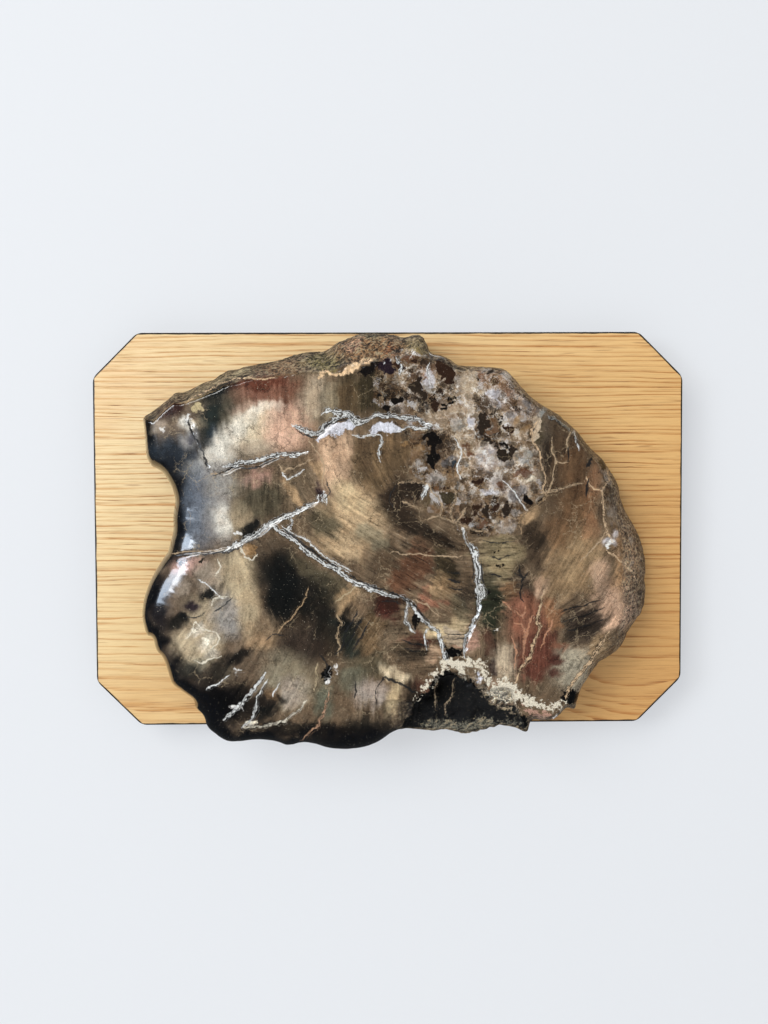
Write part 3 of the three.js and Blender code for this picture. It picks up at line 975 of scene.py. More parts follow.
# Colours of the stone, as the photograph shows them
stoneTones = {
    "body": (118, 101, 82), "rindOlive": (140, 122, 92), "rindPale": (190, 174, 138),
    "rust": (140, 110, 80), "moss": (126, 116, 78), "ledge": (222, 192, 156), "knobBrown": (150, 118, 84),
    "knobGreen": (124, 122, 94), "rustOrange": (152, 104, 68), "oliveTan": (156, 140, 102),
    # the night blue is a painted reflection of the dark room, laid on the rolled polished margins
    "rubble": (140, 102, 78), "ink": (9, 9, 11), "reflectedNightBlue": (12, 16, 25), "slate": (58, 65, 70),
    "slateSheen": (112, 116, 120), "deepGreen": (38, 46, 41), "smoke": (24, 26, 25),
    "redBlack": (58, 28, 22), "plumBlack": (46, 34, 42), "redBrown": (108, 66, 50),
    "warmBrown": (136, 98, 80), "pink": (196, 158, 140), "salmon": (214, 178, 154),
    "cream": (228, 218, 198), "creamYellow": (214, 197, 168), "greyTan": (176, 160, 138),
    "beigeGrey": (150, 140, 122), "greyBrown": (120, 105, 86), "oliveBrown": (72, 63, 46),
    "khakiBrown": (118, 98, 74), "tanPink": (202, 172, 144), "lavender": (210, 209, 215),
    "white": (222, 219, 214), "cement": (198, 181, 158), "chocolate": (62, 43, 31), "amber": (150, 122, 88),
    "umber": (84, 69, 54), "deepUmber": (56, 46, 37), "midBrown": (120, 93, 68), "redTan": (148, 111, 83),
    "khaki": (188, 164, 132), "rustRed": (104, 72, 54), "brick": (140, 98, 79), "brickDeep": (112, 72, 59),
    "maroon": (88, 52, 44), "greyGreen": (158, 149, 131), "blueGrey": (150, 151, 146),
    "peach": (196, 166, 142), "stone": (148, 138, 117), "stoneGreen": (112, 112, 96),
    "lilac": (178, 165, 153), "olive": (146, 132, 104), "oliveDark": (100, 92, 74), "mud": (66, 56, 48),
    "tan": (182, 154, 120), "beige": (194, 175, 142), "crumb": (184, 150, 114),
    "khakiGreen": (153, 130, 101), "druse": (118, 116, 102), "crust": (236, 227, 208),
    "greyLavender": (160, 155, 146), "clastGrey": (108, 106, 108), "clastTan": (112, 82, 56),
    "rustClast": (108, 76, 56), "orangeTan": (198, 158, 128), "veinTan": (190, 166, 136),
    # the pit tone is painted shade: the pits and pockets are not cut into the mesh, and are painted near
    # black where they would lie in shade
    "veinWhite": (236, 236, 233), "veinOrange": (200, 150, 118), "pit": (24, 19, 16),
    "mossDark": (50, 53, 40),
}

# Soft washes: tone, centre, half length, half width, angle (degrees, anticlockwise), strength
washes = [
    # the rind along the top
    ("rindOlive", 200, 388, 60, 14, 22, 1.0), ("rindPale", 242, 371, 16, 4, 40, 0.7),
    ("rust", 281, 368, 24, 8, 8, 0.9), ("moss", 322, 361, 20, 9, 5, 0.9),
    ("knobBrown", 372, 348, 44, 16, 0, 1.0), ("pink", 354, 344, 13, 5, 25, 0.4),
    ("knobGreen", 371, 338, 9, 6, 0, 0.75), ("rustOrange", 392, 350, 9, 7, 0, 0.95),
    ("oliveTan", 418, 345, 11, 9, 0, 0.9),
    # left tip and left edge; down the left margin the slate, night blue and slate blue washes are the stone's
    # dark tone with a painted reflection of the room in its rolled polish
    ("ink", 151, 444, 9, 34, 0, 1.0), ("redBlack", 171, 409, 17, 9, 20, 0.95),
    ("slate", 172, 456, 24, 20, 0, 0.95), ("slate", 196, 448, 10, 22, 0, 0.5),
    ("cream", 197, 471, 14, 10, 0, 0.75), ("beige", 200, 424, 6, 10, 110, 0.8),
    ("cream", 188, 426, 9, 6, 115, 0.95), ("greyLavender", 189, 441, 10, 8, 0, 0.85),
    ("clastGrey", 191, 441, 5, 4, 0, 0.8), ("greyTan", 162, 427, 8, 6, 20, 0.8),
    ("slate", 186, 508, 14, 46, 0, 1.0), ("reflectedNightBlue", 171, 508, 11, 50, 0, 1.0),
    ("slateSheen", 201, 504, 16, 44, 0, 0.9), ("ink", 226, 389, 30, 7, 26, 1.0),
    ("deepGreen", 216, 421, 17, 27, 165, 0.97), ("slate", 214, 436, 9, 12, 160, 0.6),
    ("oliveDark", 229, 411, 8, 22, 168, 0.7),
    # top, the sapwood bands
    ("warmBrown", 270, 392, 35, 15, 2, 0.97), ("redBrown", 262, 384, 27, 6, 3, 0.95),
    ("pink", 270, 410, 34, 8, 3, 0.8), ("greyTan", 314, 397, 13, 26, 0, 0.92),
    ("creamYellow", 252, 430, 28, 22, 20, 0.97), ("cream", 228, 438, 12, 20, 150, 0.6),
    ("cream", 218, 457, 16, 11, 0, 0.9), ("cream", 262, 409, 24, 5, 15, 0.5),
    ("salmon", 288, 430, 24, 24, 0, 0.95), ("greyTan", 256, 449, 20, 8, 0, 0.75),
    ("cream", 240, 424, 30, 8, 38, 0.6), ("oliveBrown", 362, 394, 34, 22, 0, 0.95),
    ("khakiBrown", 344, 398, 14, 16, 0, 0.5), ("stone", 329, 400, 8, 18, 0, 0.6),
    ("umber", 394, 400, 16, 16, 0, 0.7),
    # below the long crack
    ("tanPink", 334, 462, 19, 30, 168, 0.95), ("khakiBrown", 378, 462, 28, 28, 0, 0.95),
    ("umber", 368, 452, 9, 20, 160, 0.5), ("umber", 398, 462, 10, 26, 0, 0.6),
    ("pink", 256, 477, 15, 8, 10, 0.65), ("beigeGrey", 226, 486, 20, 12, 0, 0.9),
    ("greyLavender", 219, 502, 13, 40, 0, 0.75), ("oliveDark", 262, 502, 24, 20, 0, 0.92),
    ("greyBrown", 302, 486, 16, 16, 0, 0.7), ("plumBlack", 321, 492, 7, 4, 110, 0.9),
    ("greyBrown", 300, 515, 20, 12, 0, 0.5), ("tan", 292, 494, 16, 6, 117, 0.85),
    ("tan", 317, 471, 11, 5, 120, 0.8), ("beige", 238, 520, 10, 18, 0, 0.5),
    ("cream", 223, 520, 8, 16, 0, 0.7), ("smoke", 250, 530, 12, 8, 20, 0.95),
    # the fan of fibres in the middle
    ("khaki", 356, 520, 34, 34, 145, 0.97), ("khaki", 340, 545, 26, 14, 145, 0.8),
    ("beige", 350, 500, 24, 10, 145, 0.6), ("oliveDark", 326, 522, 13, 20, 55, 0.9),
    ("stoneGreen", 374, 540, 20, 9, 145, 0.55), ("deepUmber", 396, 512, 14, 26, 40, 0.85),
    ("khakiBrown", 372, 486, 18, 12, 140, 0.6), ("deepUmber", 400, 500, 14, 20, 0, 0.9),
    ("deepUmber", 424, 535, 32, 11, 158, 0.95),
    # the smoky dark heart and round it
    ("beige", 236, 577, 19, 26, 0, 0.92), ("smoke", 283, 575, 34, 26, 130, 0.98),
    ("smoke", 284, 602, 28, 18, 100, 0.96), ("oliveDark", 316, 572, 26, 9, 145, 0.8),
    ("oliveDark", 332, 590, 22, 14, 140, 0.8), ("umber", 318, 618, 24, 18, 150, 0.85),
    ("smoke", 316, 604, 24, 24, 130, 0.85), ("mud", 304, 644, 26, 22, 0, 0.97),
    ("smoke", 281, 598, 12, 16, 0, 0.9), ("smoke", 330, 626, 12, 18, 120, 0.7),
    ("tan", 350, 598, 14, 8, 30, 0.6), ("pink", 188, 566, 17, 9, 0, 0.8),
    ("greyTan", 208, 578, 14, 16, 0, 0.6), ("beige", 204, 612, 18, 16, 0, 0.7),
    ("beige", 200, 642, 24, 22, 0, 0.9), ("greyLavender", 227, 618, 14, 22, 0, 0.75),
    ("beige", 248, 610, 12, 22, 0, 0.7), ("tan", 262, 636, 17, 16, 0, 0.6),
    ("smoke", 209, 594, 9, 6, 20, 0.95), ("plumBlack", 194, 607, 9, 5, 10, 0.95),
    ("smoke", 184, 618, 7, 4, 0, 0.95), ("greyBrown", 268, 626, 12, 10, 0, 0.5),
    ("reflectedNightBlue", 160, 610, 12, 30, 0, 0.9),
    # lower left
    ("cream", 200, 628, 9, 6, 20, 0.5), ("cream", 210, 641, 8, 8, 60, 0.4),
    ("cream", 213, 654, 7, 4, 0, 0.4), ("smoke", 176, 624, 10, 6, 30, 0.9),
    ("greyTan", 184, 590, 8, 6, 40, 0.5), ("stoneGreen", 196, 666, 18, 10, 20, 0.5),
    ("smoke", 190, 672, 24, 9, 145, 0.7), ("oliveDark", 224, 672, 14, 8, 20, 0.6),
    ("ink", 214, 700, 22, 20, 0, 0.95), ("stone", 288, 680, 26, 27, 60, 0.95),
    ("lilac", 292, 690, 14, 16, 0, 0.6), ("stoneGreen", 322, 702, 9, 20, 0, 0.9),
    ("mud", 262, 702, 16, 10, 60, 0.75), ("rust", 272, 693, 8, 7, 0, 0.6), ("ink", 280, 697, 7, 5, 0, 0.8),
    ("tan", 270, 731, 22, 4, 5, 0.8), ("deepGreen", 346, 636, 22, 24, 60, 0.9),
    ("smoke", 345, 622, 12, 12, 60, 0.8), ("khakiBrown", 372, 636, 16, 20, 0, 0.9),
    ("ink", 243, 700, 18, 30, 60, 0.75), ("ink", 226, 706, 26, 20, 40, 0.85),
    ("smoke", 262, 714, 16, 8, 30, 0.8), ("smoke", 300, 729, 40, 7, 0, 0.8),
    ("ink", 352, 736, 46, 12, 0, 0.85), ("smoke", 222, 668, 20, 8, 40, 0.7),
    ("ink", 240, 657, 14, 7, 40, 0.9), ("smoke", 300, 596, 22, 24, 120, 0.5),
    ("deepUmber", 330, 640, 12, 20, 0, 0.6), ("oliveDark", 368, 664, 22, 14, 0, 0.85),
    ("stoneGreen", 350, 680, 16, 14, 0, 0.7), ("lilac", 372, 695, 18, 13, 0, 0.95),
    ("smoke", 366, 724, 26, 10, 0, 0.75), ("beige", 394, 699, 7, 18, 170, 0.9),
    ("creamYellow", 395, 673, 18, 7, 155, 0.9), ("ink", 414, 700, 9, 18, 0, 0.8),
    # rust and brown left of the long white vein
    ("redBlack", 386, 604, 17, 12, 150, 0.9), ("maroon", 383, 613, 13, 8, 150, 0.7),
    ("rustRed", 408, 570, 15, 30, 150, 0.8), ("brick", 426, 594, 7, 16, 155, 0.5),
    ("brick", 431, 606, 11, 9, 0, 0.8), ("umber", 386, 560, 12, 22, 150, 0.55),
    ("oliveBrown", 442, 566, 14, 20, 0, 0.85), ("khakiBrown", 444, 588, 14, 12, 0, 0.7),
    ("umber", 440, 546, 26, 8, 170, 0.7), ("oliveDark", 458, 612, 12, 18, 0, 0.75),
    ("beige", 450, 634, 20, 10, 0, 0.9), ("pink", 470, 640, 10, 12, 0, 0.6),
    ("maroon", 418, 643, 17, 8, 170, 0.7), ("smoke", 412, 652, 14, 8, 0, 0.6),
    ("greyBrown", 396, 640, 16, 16, 0, 0.5), ("tanPink", 436, 656, 12, 6, 0, 0.6),
    ("maroon", 426, 688, 8, 12, 60, 0.6), ("tan", 436, 579, 6, 9, 10, 0.6),
    # right of it
    ("olive", 502, 560, 22, 22, 0, 0.92), ("oliveDark", 486, 590, 10, 22, 0, 0.8),
    ("mossDark", 491, 606, 14, 26, 0, 0.97), ("smoke", 468, 596, 9, 20, 0, 0.6),
    ("mud", 522, 582, 9, 22, 20, 0.75), ("midBrown", 512, 590, 9, 12, 0, 0.7),
    ("maroon", 490, 640, 7, 12, 0, 0.6), ("greyTan", 506, 660, 14, 22, 0, 0.92),
    ("plumBlack", 493, 668, 5, 12, 0, 0.7), ("peach", 505, 690, 16, 8, 150, 0.4),
    ("olive", 486, 548, 18, 9, 0, 0.5), ("brick", 528, 620, 22, 26, 0, 0.95),
    ("brickDeep", 536, 655, 24, 26, 0, 0.95), ("redTan", 551, 612, 9, 20, 0, 0.85),
    ("peach", 541, 586, 8, 10, 0, 0.7), ("greyGreen", 572, 668, 21, 24, 150, 0.97),
    ("beigeGrey", 566, 652, 8, 6, 0, 0.5), ("brickDeep", 546, 652, 12, 17, 0, 0.95),
    ("maroon", 556, 674, 8, 4, 20, 0.85), ("maroon", 558, 661, 9, 5, 0, 0.85),
    ("brickDeep", 536, 676, 8, 9, 0, 0.9), ("brick", 562, 644, 9, 5, 0, 0.7),
    ("khakiGreen", 578, 556, 27, 32, 0, 0.95), ("midBrown", 560, 530, 16, 18, 0, 0.7),
    ("deepUmber", 536, 552, 14, 20, 0, 0.6), ("khakiGreen", 560, 580, 20, 16, 0, 0.7),
    ("peach", 599, 572, 9, 14, 0, 0.65), ("peach", 614, 606, 22, 26, 0, 0.8),
    ("mud", 585, 622, 24, 20, 20, 0.97), ("khakiGreen", 600, 645, 12, 8, 40, 0.6),
    # the smooth brown field on the right
    ("umber", 560, 440, 30, 34, 140, 1.0), ("umber", 572, 480, 28, 40, 0, 0.95),
    ("deepUmber", 545, 455, 7, 34, 0, 0.9), ("midBrown", 580, 506, 20, 22, 0, 0.8),
    ("midBrown", 576, 466, 13, 20, 0, 0.6), ("redTan", 596, 484, 9, 26, 165, 0.5),
    ("umber", 612, 494, 7, 26, 165, 0.85), ("deepUmber", 534, 536, 12, 18, 0, 0.6),
    ("crumb", 628, 560, 14, 40, 0, 0.8), ("redTan", 592, 525, 9, 14, 0, 0.5),
    ("lavender", 611, 543, 6, 7, 30, 0.55), ("lavender", 617, 532, 3, 5, 0, 0.7),
    # the breccia
    ("cement", 476, 412, 60, 40, 160, 0.95), ("cement", 492, 478, 42, 34, 0, 0.95),
    ("oliveBrown", 390, 396, 16, 20, 0, 0.9), ("cement", 405, 386, 9, 18, 0, 0.85),
    ("deepUmber", 420, 390, 12, 13, 0, 0.9), ("pink", 424, 371, 12, 7, 0, 0.7),
    ("khakiBrown", 456, 492, 28, 20, 0, 0.7), ("pink", 519, 404, 16, 12, 150, 0.6),
    ("lavender", 498, 398, 12, 9, 0, 0.8), ("umber", 436, 401, 16, 9, 0, 0.8),
    ("deepUmber", 488, 514, 30, 12, 0, 0.7), ("oliveBrown", 537, 432, 7, 12, 0, 0.9),
    ("rubble", 497, 379, 20, 12, 165, 0.85), ("clastGrey", 526, 408, 15, 9, 150, 0.6),
    ("smoke", 424, 448, 13, 22, 0, 0.9), ("khakiBrown", 402, 452, 16, 18, 0, 0.9),
    ("oliveBrown", 441, 498, 18, 16, 0, 0.75), ("khakiBrown", 470, 500, 20, 16, 0, 0.6),
    ("lavender", 488, 456, 10, 14, 0, 0.8), ("lavender", 500, 486, 24, 9, 140, 0.6),
    ("tan", 468, 452, 8, 9, 0, 0.6), ("deepUmber", 480, 512, 26, 10, 0, 0.6),
    ("tan", 530, 512, 12, 8, 30, 0.7), ("rustClast", 520, 470, 16, 6, 0, 0.6),
    ("blueGrey", 526, 456, 10, 7, 0, 0.7), ("deepUmber", 410, 372, 22, 10, 0, 0.3),
    ("oliveBrown", 392, 388, 16, 12, 0, 0.7),
]

# Blobs with a clear edge: tone, centre, half length, half width, angle
# the pit blobs are painted shade of pits that the mesh doesn't have
blobs = [
    ("rindPale", 197, 408, 6, 5, 20), ("white", 188, 420, 3, 4, 115), ("white", 160, 431, 3, 2, 20),
    ("white", 237, 531, 2.6, 2.6, 0), ("amber", 249, 552.5, 9.5, 7, 20), ("tan", 246, 553, 6, 4, 10),
    ("smoke", 200.5, 563, 3.5, 2, 0), ("smoke", 181, 562, 4, 2, 20), ("crust", 194, 629, 4, 3, 30),
    ("crust", 206, 640, 4, 3, 60), ("white", 236.5, 708, 4, 2, 20), ("crust", 250.5, 723, 3.4, 2.4, 0),
    ("white", 238, 671, 3, 2, 0), ("ink", 328, 675, 4.5, 8, 0), ("white", 334, 668, 1.8, 4, 0),
    ("white", 328, 683, 2.2, 2.6, 0), ("ink", 571.5, 698.5, 6.5, 9, 0), ("druse", 573, 706, 3, 3, 0),
    # clasts
    ("rustClast", 412, 360, 7.5, 7, 0), ("chocolate", 414, 362, 4.5, 4.5, 0),
    ("deepUmber", 418, 387, 8, 7, 0), ("pit", 441.5, 402, 11, 8.5, 10), ("tan", 443, 398.5, 3.4, 2.2, 0),
    ("chocolate", 436, 408, 5, 4, 0), ("lavender", 430, 379, 3.6, 10, 0), ("cement", 470, 381, 11, 9, 0),
    ("lavender", 494.5, 395, 7.5, 7, 0), ("white", 507, 375.5, 3.4, 6, 30),
    ("chocolate", 510.5, 427, 5, 6, 0), ("chocolate", 498, 362, 5, 3, 0), ("pit", 502, 420, 3, 4, 0),
    ("clastGrey", 449.5, 461, 9.5, 8, 30), ("slate", 455, 467, 5, 3, 140), ("lavender", 470, 424, 5, 6, 0),
    ("greyLavender", 455, 424, 8, 6, 0), ("cement", 455, 410, 6, 6, 0), ("rustClast", 466, 450, 5, 5, 0),
    ("amber", 462, 472, 6, 4, 0), ("rustClast", 500, 484, 4, 7, 160), ("lavender", 494, 461, 4.5, 3.8, 0),
    ("white", 503, 472.5, 8, 3, 10), ("white", 493, 461, 2.6, 2.4, 0), ("rustClast", 522, 473.5, 13, 4, 5),
    ("crust", 528, 482, 6, 2.4, 0), ("blueGrey", 527, 457, 8, 5, 30), ("khakiBrown", 442.5, 487, 9, 8, 0),
    ("oliveBrown", 446, 496, 8, 6, 0), ("deepUmber", 487, 511, 5, 7, 0), ("chocolate", 497, 509, 3.5, 5, 0),
    ("deepUmber", 508.5, 511, 5, 6, 0), ("chocolate", 477, 513, 4, 9, 0), ("chocolate", 466, 520, 5, 4, 0),
    ("clastGrey", 519.5, 497, 10, 8, 30), ("pit", 529, 500, 4, 5, 60), ("chocolate", 480, 482, 4, 5, 0),
    ("lavender", 490, 494, 9, 4, 0), ("rustClast", 482, 526, 6, 4, 0), ("pit", 505, 446, 4, 3, 0),
    ("amber", 527, 430, 5, 4, 0), ("tan", 519, 421, 6, 4, 30), ("rubble", 486, 374, 6, 5, 0),
    ("chocolate", 491, 371, 4, 3, 0), ("rubble", 508, 390, 6, 5, 0), ("clastGrey", 530, 404, 6, 5, 0),
    ("blueGrey", 542.5, 409.5, 6, 4, 20), ("white", 478.5, 434, 1.9, 1.9, 0),
    ("chocolate", 400, 366, 4, 4, 0), ("pit", 381, 398, 4, 3.5, 0), ("pit", 386.5, 407, 4, 4, 0),
    ("pit", 397, 400, 5, 4, 0), ("amber", 421, 449, 7, 4.5, 20), ("creamYellow", 424, 432, 4, 3, 0),
    ("amber", 405, 444, 4, 3, 60), ("amber", 448, 474, 5, 4, 0),
    # middle and right
    ("chocolate", 441, 487, 4, 4, 0), ("clastTan", 436, 488, 4, 4, 0), ("pit", 601.5, 463, 3, 2.6, 120),
    ("white", 610, 544, 2.4, 3.4, 30), ("white", 498, 628, 1.8, 2.2, 0), ("pit", 500, 565, 3, 1.6, 0),
    ("pit", 489.5, 590.5, 3, 3, 0), ("pit", 494, 550, 4, 1.6, 0), ("lavender", 479, 677, 3.6, 3, 30),
    ("white", 556, 716, 3, 3, 0), ("pit", 416, 620, 4, 7, 165),
]

# Patches with corners: tone, then the outline in pixels
# the pit patches are painted shade of pockets that the mesh doesn't have
patches = [
    ("ledge", [
        (318.6, 373), (336.6, 371.5), (343.5, 365.6), (359, 361), (368, 356.5), (375, 354), (374, 360),
        (361, 367), (356, 374), (345, 377), (321, 376),
    ]),
    ("pit", [(357, 375), (366, 366), (378, 358), (384, 362), (380, 374), (368, 377)]),
    ("plumBlack", [(382, 363), (391, 360), (398, 374), (387, 376), (378, 372)]),
    ("lavender", [
        (314, 439), (319.4, 433.7), (330, 425), (342, 420), (352, 423), (354, 430), (343.5, 434.5),
        (328, 439), (317.7, 441.5),
    ]),
    ("lavender", [
        (369, 430), (375, 425), (385, 421.6), (395, 423), (401, 426.8), (395, 432), (381, 433), (371, 434),
    ]),
    ("chocolate", [
        (436, 357.5), (442.5, 355.5), (451.4, 361), (458.6, 371.8), (463.5, 381), (458.6, 385.5),
        (448, 383.5), (437, 375.4), (435, 366),
    ]),
    ("deepUmber", [
        (473, 431), (478, 418), (485.5, 414.5), (496, 416.5), (503.5, 420), (503.5, 434.5), (496, 441.5),
        (483.5, 443.5), (474.5, 438),
    ]),
    ("pit", [(423, 430), (431, 428), (438, 438), (439, 455), (435, 470), (427, 466), (424, 450)]),
    ("deepUmber", [(409, 381), (420, 378), (428, 386), (427, 398), (417, 401), (410, 393)]),
    ("pit", [(430, 393), (441, 391), (451, 398), (449, 409), (438, 411), (431, 404)]),
    ("umber", [(478, 504), (490, 499), (501, 507), (498, 519), (486, 522), (479, 514)]),
    ("umber", [(459, 505), (470, 502), (474, 513), (467, 524), (459, 518)]),
    ("pit", [(505, 505), (513, 504), (517, 514), (510, 519), (504, 514)]),
    ("oliveBrown", [(533, 424), (540, 425), (541, 440), (537, 447), (532, 440)]),
    ("umber", [(512, 487), (522, 484), (531, 492), (527, 503), (516, 503)]),
    ("clastTan", [(491, 421), (500, 421), (500, 433), (493, 438), (489, 430)]),
    ("deepUmber", [(494, 445), (503, 439.5), (512, 443), (517.5, 452), (512, 461), (503, 461), (496, 456)]),
    ("deepUmber", [(399.5, 484.5), (408.5, 482), (423, 488), (421, 495), (417.5, 502), (407, 497)]),
    ("cement", [(530, 441), (532, 425), (537, 409), (543, 412), (541, 424), (538, 440), (534, 444)]),
    ("ink", [(444, 647), (462, 647), (463, 657), (446, 658)]),
    # the hollow at the bottom is painted near black: painted shade in its recess
    ("ink", [
        (447, 669), (435, 679), (420, 697), (410, 710), (405, 728), (430, 738), (470, 738), (500, 734),
        (529, 738), (530, 722), (516, 706), (500, 705), (486, 698), (479, 690), (470, 676), (462, 678),
    ]),
    ("greyTan", [(444, 629), (466, 629), (470, 645), (445, 645)]),
]

# Broken crust round the hollow: tone, then the outline in pixels
crusts = [
    ("crust", [
        (441, 661), (447, 657), (462, 659), (470, 657), (482, 660), (488, 667), (491, 676), (492, 685),
        (487, 690), (484, 681), (479, 673), (472, 668), (467, 669), (466, 677), (460, 679), (454, 669),
        (447, 668), (441, 676), (434, 683), (427, 690), (419, 700), (415, 700), (423, 686), (433, 674),
        (439, 667),
    ]),
    ("crust", [
        (486, 691), (492, 684), (499, 679), (507, 677), (514, 683), (520, 688), (527, 696), (535, 700),
        (546, 703), (558, 700), (565, 700), (563, 707), (552, 711), (541, 710), (531, 709), (520, 704),
        (512, 703), (503, 705), (493, 703), (486, 697),
    ]),
    ("pink", [
        (520, 704), (531, 706), (540, 711), (549, 712), (553, 717), (545, 720), (534, 718), (526, 712),
    ]),
    ("greyTan", [
        (468, 674), (477, 676), (483, 684), (488, 695), (499, 705), (512, 708), (524, 714), (518, 715),
        (503, 710), (489, 703), (480, 694), (474, 683),
    ]),
    ("druse", [
        (420, 723), (434, 718), (447, 717), (462, 721), (480, 715), (497, 721), (516, 719), (524, 724),
        (505, 730), (486, 733), (462, 739), (440, 734), (424, 731),
    ]),
]

